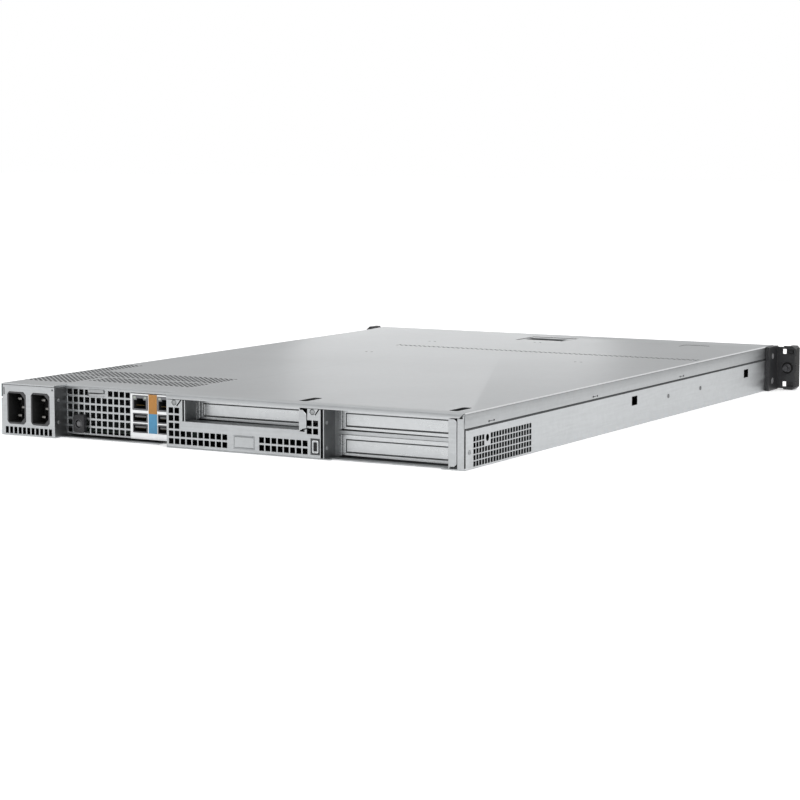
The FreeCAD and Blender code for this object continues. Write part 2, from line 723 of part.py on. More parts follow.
def latch_lever():
    """The pressed lever with its finger opening, side arms and hinge pin."""
    inset = LATCH_WALL + GAP
    x = around(LATCH_X, LATCH_WIDTH - inset * 2)
    pivot_depth = LATCH_DEPTH + LATCH_LENGTH / 2 - LATCH_PIN_INSET
    depths = (LATCH_DEPTH - LATCH_LENGTH / 2 + inset, pivot_depth + LATCH_NOSE)
    top = CHASSIS_HEIGHT - FIT * 2
    paddle = block(x, depths, (top - LATCH_LEVER_SHEET, top))
    finger = block(around(LATCH_X, LATCH_FINGER_WIDTH), around(LATCH_DEPTH, LATCH_FINGER_LENGTH),
                   (0, CHASSIS_HEIGHT + SHEET))
    pivot_z = CHASSIS_HEIGHT - LATCH_PIN_DROP
    arms = []
    for end in x:
        toward = math.copysign(LATCH_ARM, LATCH_X - end)
        rise = (pivot_z - LATCH_ARM / 2, top - LATCH_LEVER_SHEET)
        arms.append(block((end, end + toward), around(pivot_depth, LATCH_ARM), rise))
    pin = bar_x(pivot_depth, pivot_z, LATCH_PIN_RADIUS, around(LATCH_X, LATCH_WIDTH))
    return join([paddle.cut(finger), pin] + arms)


# ---------------------------------------------------------------- rear face
def inlet_bracket():
    """The bracket of the mains inlets: face, recess side wall and top lip."""
    top = WALL_TOP
    outer = SIDE - FIT
    notch_x = UPPER_SIDE - GAP
    notch_z = SEAM_LOW
    face = [
        (RECESS_LEFT, 0),
        (outer, 0),
        (outer, notch_z),
        (notch_x, notch_z),
        (notch_x, top),
        (RECESS_LEFT, top),
    ]
    shell = plate(face, [0] * len(face), (0, SHEET))
    wall = block((RECESS_LEFT, RECESS_LEFT + SHEET), (0, PANEL_DEPTH + SHEET), (SHEET, top))
    lip = block((RECESS_LEFT + SHEET, UPPER_SIDE - PAN_LIP - SHEET), (0, SLOT_TAB), (top - SHEET, top))
    shell = join([shell, wall, lip])
    tools = []
    cut_width = INLET_WIDTH + FIT * 2
    cut_height = INLET_HEIGHT + FIT * 2
    for x in INLET_X:
        opening = cut_plate(around(x, cut_width), around(INLET_Z, cut_height), INLET_CORNER,
                              (-SHEET, SHEET * 2))
        tools.append(opening)
    span = (FOOT_SLOTS - 1) * FOOT_SLOT_PITCH
    first = sum(INLET_X) / len(INLET_X) - span / 2
    for index in range(FOOT_SLOTS):
        x = around(first + index * FOOT_SLOT_PITCH, FOOT_SLOT_WIDTH)
        tools.append(block(x, (-SHEET, SHEET * 2), (FOOT_SLOT_Z, FOOT_SLOT_Z + FOOT_SLOT_HEIGHT)))
    slit_z = (SEAM_TOP + SHEET * 2, SEAM_TOP + SHEET * 2 + BRACKET_SLIT_HEIGHT)
    slit_x = (notch_x - SHEET - BRACKET_SLIT_WIDTH, notch_x - SHEET)
    tools.append(block(slit_x, (-SHEET, SHEET), slit_z))
    return cut(shell, tools)


def ac_inlets():
    """Two mains inlet shells with a bevelled cavity."""
    shells = []
    for x in INLET_X:
        body = cut_plate(around(x, INLET_WIDTH), around(INLET_Z, INLET_HEIGHT), INLET_CORNER,
                           (0, INLET_LENGTH))
        x0, x1 = around(x, INLET_WIDTH - INLET_WALL * 2)
        z0, z1 = around(INLET_Z, INLET_HEIGHT - INLET_WALL * 2)
        cavity = [
            (x0 + INLET_CHAMFER, z0),
            (x1, z0),
            (x1, z1),
            (x0 + INLET_CHAMFER, z1),
            (x0, z1 - INLET_CHAMFER),
            (x0, z0 + INLET_CHAMFER),
        ]
        hollow = plate(cavity, [0] * len(cavity), (-SHEET, INLET_CAVITY_DEPTH))
        shells.append(body.cut(hollow))
    return Part.makeCompound(shells)


def inlet_blades():
    """Three flat contact blades in each mains inlet."""
    blades = []
    start = INLET_CAVITY_DEPTH - BLADE_LENGTH
    places = ((BLADE_OFFSET, BLADE_SPREAD), (EARTH_OFFSET, 0), (BLADE_OFFSET, -BLADE_SPREAD))
    for x in INLET_X:
        for offset, rise in places:
            z = around(INLET_Z + rise, BLADE_THICKNESS)
            blade = block(around(x + offset, BLADE_WIDTH), (start, INLET_CAVITY_DEPTH), z)
            blades.append(blade)
    return Part.makeCompound(blades)


def rear_vent_panel():
    """The recessed grille with its lanced hasp loop."""
    depths = (PANEL_DEPTH, PANEL_DEPTH + SHEET)
    panel = block((PANEL_EDGE_X, RECESS_LEFT), depths, (PANEL_FOOT, WALL_TOP))
    punch = (PANEL_DEPTH - SHEET, PANEL_DEPTH + SHEET * 2)
    first_x = PANEL_LAST_X + (PANEL_COLUMNS - 1) * PANEL_PITCH_X
    tools = []
    window_z = (HASP_Z, HASP_WINDOW_TOP)
    for column in range(PANEL_COLUMNS):
        for row in range(PANEL_ROWS):
            x = first_x - column * PANEL_PITCH_X
            z = PANEL_FIRST_Z + row * PANEL_PITCH_Z
            behind_hasp = row == PANEL_ROWS - 1 and HASP_X[0] < x < HASP_X[1]
            if not behind_hasp:
                tools.append(block(around(x, MESH_HOLE), punch, around(z, MESH_HOLE)))
    tools.append(block((HASP_X[0] + SHEET, HASP_X[1] - SHEET), punch, window_z))
    return join([cut(panel, tools), hasp_loop()])


def hasp_loop():
    """A strip pushed out of the panel between two bends."""
    left, right = HASP_X[1] + SHEET, HASP_X[0] - SHEET
    rise = HASP_PROUD + SHEET
    points = [
        (left, 0), (left - rise, -rise), (right + rise, -rise), (right, 0),
        (right + SHEET, SHEET), (right + rise, -rise + SHEET * 1.4),
        (left - rise, -rise + SHEET * 1.4), (left - SHEET, SHEET),
    ]
    corners = [Vector(x, REAR_Y - PANEL_DEPTH - y, HASP_Z) for x, y in points]
    wire = Part.makePolygon(corners + [corners[0]])
    return Part.Face(wire).extrude(Vector(0, 0, HASP_HEIGHT))


def button_housing():
    """The black block that guards the rear power button."""
    x = around(BUTTON_BLOCK_X, BUTTON_BLOCK_WIDTH)
    z = around(BUTTON_BLOCK_Z, BUTTON_BLOCK_HEIGHT)
    face_depth = PANEL_DEPTH - BUTTON_BLOCK_PROUD
    body = cut_plate(x, z, INLET_WALL, (face_depth, PANEL_DEPTH))
    well = bar_y(BUTTON_BLOCK_X, BUTTON_BLOCK_Z, BUTTON_WELL_RADIUS,
                 (face_depth - SHEET, face_depth + BUTTON_WELL_DEPTH))
    clip = block((x[1], x[1] + SHEET * 2), (PANEL_DEPTH - SHEET, PANEL_DEPTH),
                 around(z[1] - SHEET * 2, SHEET * 2))
    return join([body.cut(well), clip])


def rear_power_button():
    """A round button in its well."""
    base = PANEL_DEPTH - BUTTON_BLOCK_PROUD + BUTTON_WELL_DEPTH - REAR_BUTTON_TRAVEL - GAP / 2
    cap = bar_y(BUTTON_BLOCK_X, BUTTON_BLOCK_Z, REAR_BUTTON_RADIUS, (base - REAR_BUTTON_HEIGHT, base))
    skirt = bar_y(BUTTON_BLOCK_X, BUTTON_BLOCK_Z, BUTTON_WELL_RADIUS - GAP, (base - SHEET, base))
    return join([cap, skirt])


def io_plate():
    """The bright plate around the network and USB jacks."""
    depths = (PANEL_DEPTH, PANEL_DEPTH + IO_SHEET)
    sheet = block((RECESS_RIGHT + SHEET * 2, PANEL_EDGE_X), depths, (IO_BOTTOM, IO_TOP))
    punch = (PANEL_DEPTH - SHEET, PANEL_DEPTH + SHEET * 2)
    tools = []
    for x in JACK_COLUMN_X:
        jack_x = around(x, RJ45_WIDTH + GAP)
        tools.append(block(jack_x, punch, around(RJ45_Z, RJ45_HEIGHT + GAP)))
        for z in USB_Z:
            tools.append(block(around(x, USB_WIDTH + GAP), punch, around(z, USB_HEIGHT + GAP)))
    return cut(sheet, tools)


def rj45_jacks():
    """Two network jacks with a stepped mouth, each standing on the board behind its USB pair."""
    jacks = []
    face = PANEL_DEPTH - GAP
    for x in JACK_COLUMN_X:
        body = block(around(x, RJ45_WIDTH), (face, face + RJ45_DEPTH), around(RJ45_Z, RJ45_HEIGHT))
        low = RJ45_Z - RJ45_HEIGHT / 2 + SHEET
        high = low + RJ45_MOUTH_HEIGHT
        clip = high + RJ45_CLIP_HEIGHT
        half = RJ45_MOUTH_WIDTH / 2
        inner = RJ45_CLIP_WIDTH / 2
        mouth = [
            (x - half, low), (x + half, low), (x + half, high), (x + inner, high),
            (x + inner, clip), (x - inner, clip), (x - inner, high), (x - half, high),
        ]
        hollow = plate(mouth, [0] * len(mouth), (face - SHEET, face + RJ45_MOUTH_DEPTH))
        leg = block(around(x, RJ45_WIDTH), (face + USB_DEPTH, face + RJ45_DEPTH), (BOARD_TOP, RJ45_Z))
        jacks.append(join([body.cut(hollow), leg]))
    return Part.makeCompound(jacks)


def usb_port(x, z, face):
    """A USB shell with its contact tongue."""
    body = block(around(x, USB_WIDTH), (face, face + USB_DEPTH), around(z, USB_HEIGHT))
    mouth_z = around(z, USB_HEIGHT - USB_WALL * 2)
    mouth = block(around(x, USB_WIDTH - USB_WALL * 2), (face - SHEET, face + USB_DEPTH - SHEET * 4), mouth_z)
    tongue_z = (mouth_z[1] - USB_WALL - USB_TONGUE, mouth_z[1] - USB_WALL)
    tongue = block(around(x, USB_WIDTH - USB_WALL * 4), (face + SHEET, face + USB_DEPTH - SHEET), tongue_z)
    return join([body.cut(mouth), tongue])


def usb_ports():
    """Four USB ports under the network jacks and two behind the front sheet."""
    face = PANEL_DEPTH - GAP
    rear = [usb_port(x, z, face) for x in JACK_COLUMN_X for z in USB_Z]
    return Part.makeCompound(rear + front_usb())


def io_label():
    """The two-colour strip beside the jacks."""
    depths = (PANEL_DEPTH - LABEL_THICKNESS, PANEL_DEPTH)
    return block(around(LABEL_X, LABEL_WIDTH), depths, LABEL_Z)


def slot_window(left_x, z):
    """The hole in a cage's back plate behind one slot cover."""
    x = (left_x - SLOT_WINDOW_INSET + GAP, left_x - SLOT_COVER_LENGTH + SLOT_WINDOW_INSET - GAP)
    return block(x, (PANEL_DEPTH - SHEET, PANEL_DEPTH + SHEET * 2), around(z, SLOT_WINDOW + GAP * 2))


def slot_cover(left_x, z):
    """A blanking plate with a sunk field and a folded tab at its -X end."""
    right_x = left_x - SLOT_COVER_LENGTH
    face = PANEL_DEPTH - SLOT_COVER_SHEET
    strip = block((left_x, right_x), (face, PANEL_DEPTH), around(z, SLOT_COVER_WIDTH))
    tray_x = (left_x - SLOT_WINDOW_INSET, right_x + SLOT_WINDOW_INSET)
    tray = block(tray_x, (face, PANEL_DEPTH + SLOT_TRAY), around(z, SLOT_WINDOW))
    inner_x = (tray_x[0] - SLOT_COVER_SHEET, tray_x[1] + SLOT_COVER_SHEET)
    inner_z = around(z, SLOT_WINDOW - SLOT_COVER_SHEET * 2)
    pocket = block(inner_x, (face - SHEET, PANEL_DEPTH + SLOT_TRAY - SLOT_COVER_SHEET), inner_z)
    tab = block((right_x, right_x + SLOT_COVER_SHEET), (face - SLOT_TAB, PANEL_DEPTH),
                around(z, SLOT_COVER_WIDTH - SHEET * 3))
    return join([strip, tray, tab]).cut(pocket)


SLOT_HIGH_Z = SLOT_LOW_Z + SLOT_PITCH
CENTRE_SLOT_X = RISER_OPEN_LEFT - SHEET - GAP
RIGHT_SLOT_X = RIGHT_JAMB_X + GAP + SLOT_COVER_LENGTH
CENTRE_CARD_X = CENTRE_SLOT_X + SHEET * 3


def riser_cage_centre():
    """The centre riser's face: mesh, slot opening, tongue, lock recess and walls."""
    face = block((RISER_SPLIT, RECESS_RIGHT), (0, SHEET), (SHEET, RISER_FACE_TOP))
    sides = [
        block((RECESS_RIGHT - SHEET, RECESS_RIGHT), (0, PANEL_DEPTH + SHEET), (SHEET, RISER_FACE_TOP)),
        block((RISER_SPLIT, RISER_SPLIT + SHEET), (0, PANEL_DEPTH + SHEET), (SHEET, RISER_FACE_TOP)),
    ]
    tunnel_path = [
        (RISER_OPEN_RIGHT - SHEET, RISER_FACE_TOP),
        (RISER_OPEN_RIGHT - SHEET, RISER_OPEN_FLOOR),
        (RISER_OPEN_LEFT, RISER_OPEN_FLOOR),
        (RISER_OPEN_LEFT, RISER_FACE_TOP),
    ]
    tunnel = folded(tunnel_path, (0, PANEL_DEPTH - SLOT_COVER_SHEET - FIT), sharp=(1, 2))
    back_top = SLOT_HIGH_Z + SLOT_COVER_WIDTH / 2
    back = block((RISER_OPEN_RIGHT - SHEET, RISER_OPEN_LEFT), (PANEL_DEPTH, PANEL_DEPTH + SHEET),
                 (RISER_OPEN_FLOOR, back_top))
    ramp = block((RISER_OPEN_RIGHT - SHEET, RISER_OPEN_LEFT), (PANEL_DEPTH - SHEET, PANEL_DEPTH + SHEET),
                 (RISER_OPEN_FLOOR, RISER_OPEN_FLOOR + SHEET / 2))
    through = (-SHEET, SHEET * 2)
    opening_z = (RISER_OPEN_FLOOR + SHEET, RISER_FACE_TOP + SHEET)
    face = cut(face, [block((RISER_OPEN_RIGHT, RISER_OPEN_LEFT + RISER_SLIT), through, opening_z)])
    slit_x = RISER_OPEN_RIGHT - TONGUE_WIDTH
    slit_top = RISER_FACE_TOP - GAP
    slit_outer = cut_plate((slit_x - TONGUE_SLIT, RISER_OPEN_RIGHT + TONGUE_CORNER),
                             (TONGUE_SLIT_Z, slit_top + TONGUE_CORNER), TONGUE_CORNER, through)
    tongue = cut_plate((slit_x, RISER_OPEN_RIGHT + TONGUE_CORNER * 2),
                         (TONGUE_SLIT_Z - TONGUE_CORNER * 2, slit_top - TONGUE_SLIT), TONGUE_CORNER, through)
    slit = slit_outer.cut(tongue)
    notch_z = (RISER_OPEN_FLOOR - FIT, RISER_OPEN_FLOOR + SHEET)
    low_mesh = mesh_tools(CENTRE_MESH_X, CENTRE_MESH_Z, CENTRE_MESH_COLUMNS, CENTRE_MESH_LOW_ROWS,
                          CENTRE_MESH_PITCH_X, CENTRE_MESH_PITCH_Z, through)
    tall_z = CENTRE_MESH_Z + CENTRE_MESH_LOW_ROWS * CENTRE_MESH_PITCH_Z
    tall_mesh = mesh_tools(CENTRE_MESH_X, tall_z, CENTRE_MESH_TALL_COLUMNS,
                           CENTRE_MESH_TALL_ROWS - CENTRE_MESH_LOW_ROWS,
                           CENTRE_MESH_PITCH_X, CENTRE_MESH_PITCH_Z, through)
    right_mesh = mesh_tools(RIGHT_MESH_X, CENTRE_MESH_Z, RIGHT_MESH_COLUMNS, CENTRE_MESH_LOW_ROWS,
                            CENTRE_MESH_PITCH_X, CENTRE_MESH_PITCH_Z, through)
    high_mesh = mesh_tools(HIGH_MESH_X, HIGH_MESH_Z, HIGH_MESH_COUNT, HIGH_MESH_COUNT,
                           CENTRE_MESH_PITCH_X, CENTRE_MESH_PITCH_Z, through)
    lock = cut_plate(around(LOCK_X, LOCK_WIDTH), around(LOCK_Z, LOCK_HEIGHT), SHEET * 1.5,
                       through)
    face = cut(face, low_mesh + tall_mesh + right_mesh + high_mesh + [
        slit,
        block((slit_x + TONGUE_SLIT * 2, RISER_OPEN_RIGHT), through, notch_z),
        block(FIELD_X, (-SHEET, EMBOSS), FIELD_Z),
        lock,
    ] + [bar_y(x, FACE_RIVET_Z, RIVET_RADIUS, through, HEAD_FACETS) for x in FACE_RIVETS_X])
    cage = join([face, tunnel, back, ramp, lock_slot()] + sides)
    return cut(cage, [slot_window(CENTRE_SLOT_X, SLOT_HIGH_Z)])


def lock_slot():
    """The insert around the security lock slot."""
    x = around(LOCK_X, LOCK_WIDTH)
    z = around(LOCK_Z, LOCK_HEIGHT)
    base = block(x, (LOCK_SINK, LOCK_SINK + SHEET), z)
    rim = cut_plate((x[0] + SHEET, x[1] - SHEET), (z[0] + SHEET, z[1] - SHEET), SHEET, (0, LOCK_SINK))
    slot = cut_plate(around(LOCK_X, LOCK_SLOT_WIDTH), around(LOCK_Z, LOCK_SLOT_HEIGHT), SHEET / 2,
                       (-SHEET, SHEET * 2))
    return join([base, rim]).cut(slot)


def riser_cage_right():
    """The right riser's cage: long inner wall, back plate with two slots and the jamb."""
    wall_x = (RIGHT_CAGE_X - SHEET, RIGHT_CAGE_X)
    wall = block(wall_x, (0, PANEL_DEPTH + CAGE_REACH), (SHEET, RISER_FACE_TOP))
    back_top = SLOT_HIGH_Z + SLOT_COVER_WIDTH / 2
    back = block((RIGHT_JAMB_X - SHEET, RIGHT_CAGE_X), (PANEL_DEPTH, PANEL_DEPTH + SHEET),
                 (SHEET, back_top))
    jamb_wall = block((RIGHT_JAMB_X - SHEET, RIGHT_JAMB_X), (0, PANEL_DEPTH + SHEET),
                      (SHEET, RIGHT_JAMB_TOP))
    jamb_edge = -SIDE + REAR_POST + GAP * 2
    strip_points = [
        (jamb_edge, RIGHT_JAMB_BOTTOM),
        (RIGHT_JAMB_X, RIGHT_JAMB_BOTTOM),
        (RIGHT_JAMB_X, RIGHT_JAMB_TOP),
        (jamb_edge, RIGHT_JAMB_TOP),
    ]
    strip = chamfer(plate(strip_points, [0] * len(strip_points), (0, SHEET)), Y_AXIS, SHEET * 2,
                    lambda edge: edge.Vertexes[0].Point.x < RIGHT_JAMB_X - SHEET)
    foot = block((RIGHT_JAMB_X, RIGHT_CAGE_X - SHEET), (PANEL_DEPTH, PANEL_DEPTH + SLOT_TAB),
                 (SHEET, SHEET * 2))
    cage = join([wall, back, jamb_wall, strip, foot])
    windows = [slot_window(RIGHT_SLOT_X, z) for z in (SLOT_LOW_Z, SLOT_HIGH_Z)]
    return cut(cage, windows)


def rear_rivets():
    """Flat rivets on the rear faces, the recess wall and the chassis side."""
    rivets = []
    for x in FACE_RIVETS_X:
        rivets.append(bar_y(x, FACE_RIVET_Z, RIVET_RADIUS, (FIT, SHEET + RIVET_HEAD), HEAD_FACETS))
    for z in BRACKET_RIVET_Z:
        rivets.append(rivet_x(BRACKET_RIVET_DEPTH, z, RECESS_LEFT, -1))
    for z in CAGE_RIVET_Z:
        rivets.append(rivet_x(CAGE_RIVET_DEPTH, z, RIGHT_CAGE_X - SHEET, -1))
    rivets.append(rivet_x(CORNER_RIVET_DEPTH, CORNER_RIVET_Z, -SIDE, -1))
    return Part.makeCompound(rivets)


def side_studs():
    """Flush studs that locate the slide rails, two on each side."""
    studs = []
    for side in (-1, 1):
        for depth in SIDE_STUD_DEPTHS:
            studs.append(rivet_x(depth, SIDE_STUD_Z, side * SIDE, side))
    return Part.makeCompound(studs)


# ---------------------------------------------------------------- rack ears
def rack_ear(side):
    """A black ear: leg on the chassis side and slotted flange on the rack post."""
    low, high = EAR_MARGIN, CHASSIS_HEIGHT - EAR_MARGIN
    outer = PANEL_SIDE
    middle = EAR_MIDDLE
    leg_x = (side * SIDE, side * (SIDE + EAR_THICKNESS))
    leg = block(leg_x, (RACK_DEPTH - EAR_LEG, RACK_DEPTH + EAR_FLANGE), (low, high))
    edge = outer - EAR_BUMP
    profile = [
        (SIDE, low + EAR_STEP), (EAR_STEP_X, low + EAR_STEP), (EAR_STEP_X, low),
        (edge - EAR_CORNER, low), (edge, low + EAR_CORNER),
        (edge, high - EAR_CORNER), (edge - EAR_CORNER, high),
        (EAR_STEP_X, high), (EAR_STEP_X, high - EAR_STEP), (SIDE, high - EAR_STEP),
    ]
    if side < 0:
        profile = [(-x, z) for x, z in profile]
    flange = plate(profile, [0] * len(profile), (RACK_DEPTH, RACK_DEPTH + EAR_FLANGE))
    bumps = []
    for z in (low + EAR_CORNER + EAR_BUMP_LENGTH / 2, middle, high - EAR_CORNER - EAR_BUMP_LENGTH / 2):
        x = sorted((side * (edge - EAR_BUMP * 2), side * outer))
        bumps.append(block(x, (RACK_DEPTH, RACK_DEPTH + EAR_FLANGE), around(z, EAR_BUMP_LENGTH)))
    ear = join([leg, flange] + bumps)
    through = (RACK_DEPTH - SHEET, RACK_DEPTH + EAR_FLANGE + SHEET)
    tools = [bar_y(side * EAR_SLOT_X, middle, CAPTIVE_SHANK + GAP * 2, through, HEAD_FACETS)]
    for z in around(middle, EAR_SLOT_PITCH):
        tools.append(block(around(side * EAR_SLOT_X, EAR_SLOT_LENGTH), through, around(z, EAR_SLOT_HEIGHT)))
    for z in around(middle, EAR_SCREW_PITCH):
        sunk = (side * (SIDE + EAR_THICKNESS - EAR_SCREW_SINK), side * (SIDE + EAR_THICKNESS + SHEET))
        tools.append(bar_x(EAR_SCREW_DEPTH, z, EAR_SCREW_HEAD, sunk, HEAD_FACETS))
    return join([cut(ear, tools), ear_cap(side)])


def ear_cap(side):
    """The pull in front of the ear's outer edge, scalloped around the screw's knob."""
    outer = side * (PANEL_SIDE - EAR_BUMP)
    inner = outer - side * CAP_WIDTH
    start = RACK_DEPTH + EAR_FLANGE
    z = (EAR_MARGIN, CHASSIS_HEIGHT - EAR_MARGIN)
    body = cut_plate((inner, outer), z, EAR_CORNER, (start, start + CAP_DEPTH))
    pocket = bar_y(side * EAR_SLOT_X, EAR_MIDDLE, CAPTIVE_KNOB + CAP_CLEARANCE,
                   (start, start + CAP_DEPTH + SHEET))
    return body.cut(pocket)


def ear_screws():
    """Countersunk screws that hold the ear legs, two a side."""
    screws = []
    for side in (-1, 1):
        for z in around(EAR_MIDDLE, EAR_SCREW_PITCH):
            face = side * (SIDE + EAR_THICKNESS)
            sunk = face - side * EAR_SCREW_SINK
            screws.append(bar_x(EAR_SCREW_DEPTH, z, EAR_SCREW_HEAD, (sunk, face - side * FIT), HEAD_FACETS))
    return Part.makeCompound(screws)


def captive_screw(side):
    """A spring-free captive thumbscrew: threaded nose, collar and knob."""
    x = side * EAR_SLOT_X
    start = RACK_DEPTH + EAR_FLANGE + GAP
    nose = rod_y(x, EAR_MIDDLE, CAPTIVE_SHANK, (RACK_DEPTH - CAPTIVE_REACH, start))
    collar_end = RACK_DEPTH - GAP
    collar = bar_y(x, EAR_MIDDLE, CAPTIVE_COLLAR, (collar_end - CAPTIVE_COLLAR_LENGTH, collar_end), HEAD_FACETS)
    knob = bar_y(x, EAR_MIDDLE, CAPTIVE_KNOB, (start, start + CAPTIVE_KNOB_LENGTH))
    recess = block(around(x, SHEET), (start + CAPTIVE_KNOB_LENGTH - SHEET, start + CAPTIVE_KNOB_LENGTH + SHEET),
                   around(EAR_MIDDLE, CAPTIVE_KNOB))
    return join([nose, collar, knob]).cut(recess)


# ---------------------------------------------------------------- mainboard
def mainboard():
    """The circuit board with its soldered processor socket, memory slots and cell holder."""
    board = block(BOARD_X, BOARD_DEPTHS, (BOARD_TOP - BOARD_THICKNESS, BOARD_TOP))
    return join([board, cpu_socket(), coin_cell(), riser_socket()] + dimm_slots())


def standoffs():
    """Hexagonal stand-offs between the floor and the board."""
    posts = []
    xs = (BOARD_X[0] + STANDOFF_INSET, BOARD_X[1] - STANDOFF_INSET)
    depths = (BOARD_DEPTHS[0] + STANDOFF_INSET, sum(BOARD_DEPTHS) / 2, BOARD_DEPTHS[1] - STANDOFF_INSET)
    for x in xs:
        for depth in depths:
            posts.append(bar_z(x, depth, STANDOFF_RADIUS, (SHEET, SHEET + STANDOFF_HEIGHT), 6))
    return posts


def finned(x, depths, z, base, fins):
    """A heat sink: a base with straight fins along Y."""
    low_x, high_x = x
    pieces = [block(x, depths, (z[0], z[0] + base))]
    step = (high_x - low_x - FIN_THICKNESS) / (fins - 1)
    for index in range(fins):
        start = low_x + index * step
        pieces.append(block((start, start + FIN_THICKNESS), depths, (z[0] + base, z[1])))
    return join(pieces)


def cpu_socket():
    """The processor with its socket frame."""
    x = around(CPU_X, SOCKET_SIZE)
    depths = around(CPU_DEPTH, SOCKET_SIZE)
    return block(x, depths, (BOARD_TOP, BOARD_TOP + SOCKET_HEIGHT))


def cpu_heatsink():
    """The tall finned sink on the processor."""
    low = BOARD_TOP + SOCKET_HEIGHT
    return finned(around(CPU_X, SINK_WIDTH), around(CPU_DEPTH, SINK_LENGTH), (low, SINK_TOP), SINK_BASE, SINK_FINS)


def dimm_places():
    """The X of each memory module, both sides of the processor."""
    places = []
    for side in (-1, 1):
        first = CPU_X + side * (SINK_WIDTH / 2 + DIMM_GAP)
        for index in range(DIMMS_PER_SIDE):
            places.append(first + side * index * DIMM_PITCH)
    return places


def dimm_slots():
    """Memory slots with upright end latches."""
    slots = []
    for x in dimm_places():
        body = block(around(x, DIMM_SLOT_WIDTH), around(CPU_DEPTH, DIMM_SLOT_LENGTH),
                     (BOARD_TOP, BOARD_TOP + DIMM_SLOT_HEIGHT))
        groove = block(around(x, DIMM_THICKNESS), around(CPU_DEPTH, DIMM_LENGTH),
                       (BOARD_TOP + DIMM_SEAT, BOARD_TOP + DIMM_SLOT_HEIGHT + SHEET))
        ends = []
        for sign in (-1, 1):
            edge = CPU_DEPTH + sign * DIMM_SLOT_LENGTH / 2
            inner = CPU_DEPTH + sign * (DIMM_LENGTH / 2 + GAP)
            ends.append(block(around(x, DIMM_SLOT_WIDTH), (edge, inner), (BOARD_TOP, BOARD_TOP + EJECTOR_HEIGHT)))
        slots.append(join([body] + ends).cut(groove))
    return slots


def memory_modules():
    """Upright memory modules."""
    modules = []
    for x in dimm_places():
        low = BOARD_TOP + DIMM_SEAT
        modules.append(block(around(x, DIMM_THICKNESS), around(CPU_DEPTH, DIMM_LENGTH), (low, low + DIMM_HEIGHT)))
    return Part.makeCompound(modules)


def chipset_heatsink():
    """The low sink on the bridge chip."""
    z = (BOARD_TOP, BOARD_TOP + CHIPSET_HEIGHT)
    return finned(around(CHIPSET_X, CHIPSET_SIZE), around(CHIPSET_DEPTH, CHIPSET_SIZE), z, SINK_BASE, CHIPSET_FINS)


def coin_cell():
    """The clock's coin cell in its holder."""
    holder_size = CELL_RADIUS * 2 + SHEET * 4
    z = (BOARD_TOP, BOARD_TOP + CELL_HEIGHT)
    holder = block(around(CELL_X, holder_size), around(CELL_DEPTH, holder_size), z)
    cell = bar_z(CELL_X, CELL_DEPTH, CELL_RADIUS, (BOARD_TOP, BOARD_TOP + CELL_HEIGHT + SHEET / 2))
    return join([holder, cell])


def riser_card(x, low_z, slot_heights):
    """An upright riser with its card slots on the -X side."""
    depths = (RISER_CARD_DEPTH, RISER_CARD_DEPTH + RISER_CARD_LENGTH)
    middle = sum(depths) / 2
    card = block((x, x + RISER_CARD_THICKNESS), depths, (low_z, RISER_CARD_TOP))
    slots = []
    for z in slot_heights:
        slot = block((x, x - CARD_SLOT_HEIGHT), around(middle, CARD_SLOT_LENGTH), around(z, CARD_SLOT_WIDTH))
        groove = block((x - CARD_SLOT_HEIGHT / 2, x - CARD_SLOT_HEIGHT - SHEET),
                       around(middle, CARD_SLOT_LENGTH - SHEET * 4), around(z, BOARD_THICKNESS))
        slots.append(slot.cut(groove))
    return join([card] + slots)


def riser_socket():
    """The socket on the board that the centre riser stands in."""
    depths = (RISER_CARD_DEPTH - SHEET, RISER_CARD_DEPTH + RISER_CARD_LENGTH + SHEET)
    middle = CENTRE_CARD_X + RISER_CARD_THICKNESS / 2
    body = block(around(middle, RISER_SOCKET_WIDTH), depths, (BOARD_TOP, BOARD_TOP + RISER_SOCKET_HEIGHT))
    groove = block((CENTRE_CARD_X - FIT, CENTRE_CARD_X + RISER_CARD_THICKNESS + FIT),
                   (RISER_CARD_DEPTH - FIT, RISER_CARD_DEPTH + RISER_CARD_LENGTH + FIT),
                   (BOARD_TOP + DIMM_SEAT, BOARD_TOP + RISER_SOCKET_HEIGHT + SHEET))
    return body.cut(groove)


def riser_card_centre():
    """The riser over the mainboard."""
    return riser_card(CENTRE_CARD_X, BOARD_TOP + DIMM_SEAT, (SLOT_HIGH_Z,))


def riser_card_right():
    """The riser against the right cage's wall."""
    x = RIGHT_CAGE_X - SHEET - RISER_CARD_THICKNESS
    return riser_card(x, SHEET * 2, (SLOT_LOW_Z, SLOT_HIGH_Z))


# ---------------------------------------------------------------- power supplies
def power_supply(index):
    """A closed supply with a sunk round air way at each end."""
    x0 = RECESS_LEFT + SHEET + GAP
    start = PSU_FIRST_DEPTH + index * (PSU_LENGTH + PSU_SPACE)
    x = (x0, x0 + PSU_WIDTH)
    body = block(x, (start, start + PSU_LENGTH), (SHEET, SHEET + PSU_HEIGHT))
    middle_x = sum(x) / 2
    middle_z = SHEET + PSU_HEIGHT / 2
    end = start + PSU_LENGTH
    wells = []
    for depths in ((start - SHEET, start + PSU_GRILLE_SINK), (end - PSU_GRILLE_SINK, end + SHEET)):
        wells.append(bar_y(middle_x, middle_z, PSU_GRILLE_RADIUS, depths))
    return cut(body, wells)


def psu_divider():
    """The upright sheet between the supplies and the mainboard."""
    length = PSU_LENGTH * 2 + PSU_SPACE
    start = PANEL_DEPTH + SHEET
    x = (RECESS_LEFT, RECESS_LEFT + DIVIDER_SHEET)
    wall = block(x, (start, PSU_FIRST_DEPTH + length), (SHEET, WALL_TOP - SHEET))
    foot = block((x[0] - STANDOFF_RADIUS, x[1]), (start, PSU_FIRST_DEPTH + length), (SHEET, SHEET * 2))
    return join([wall, foot])


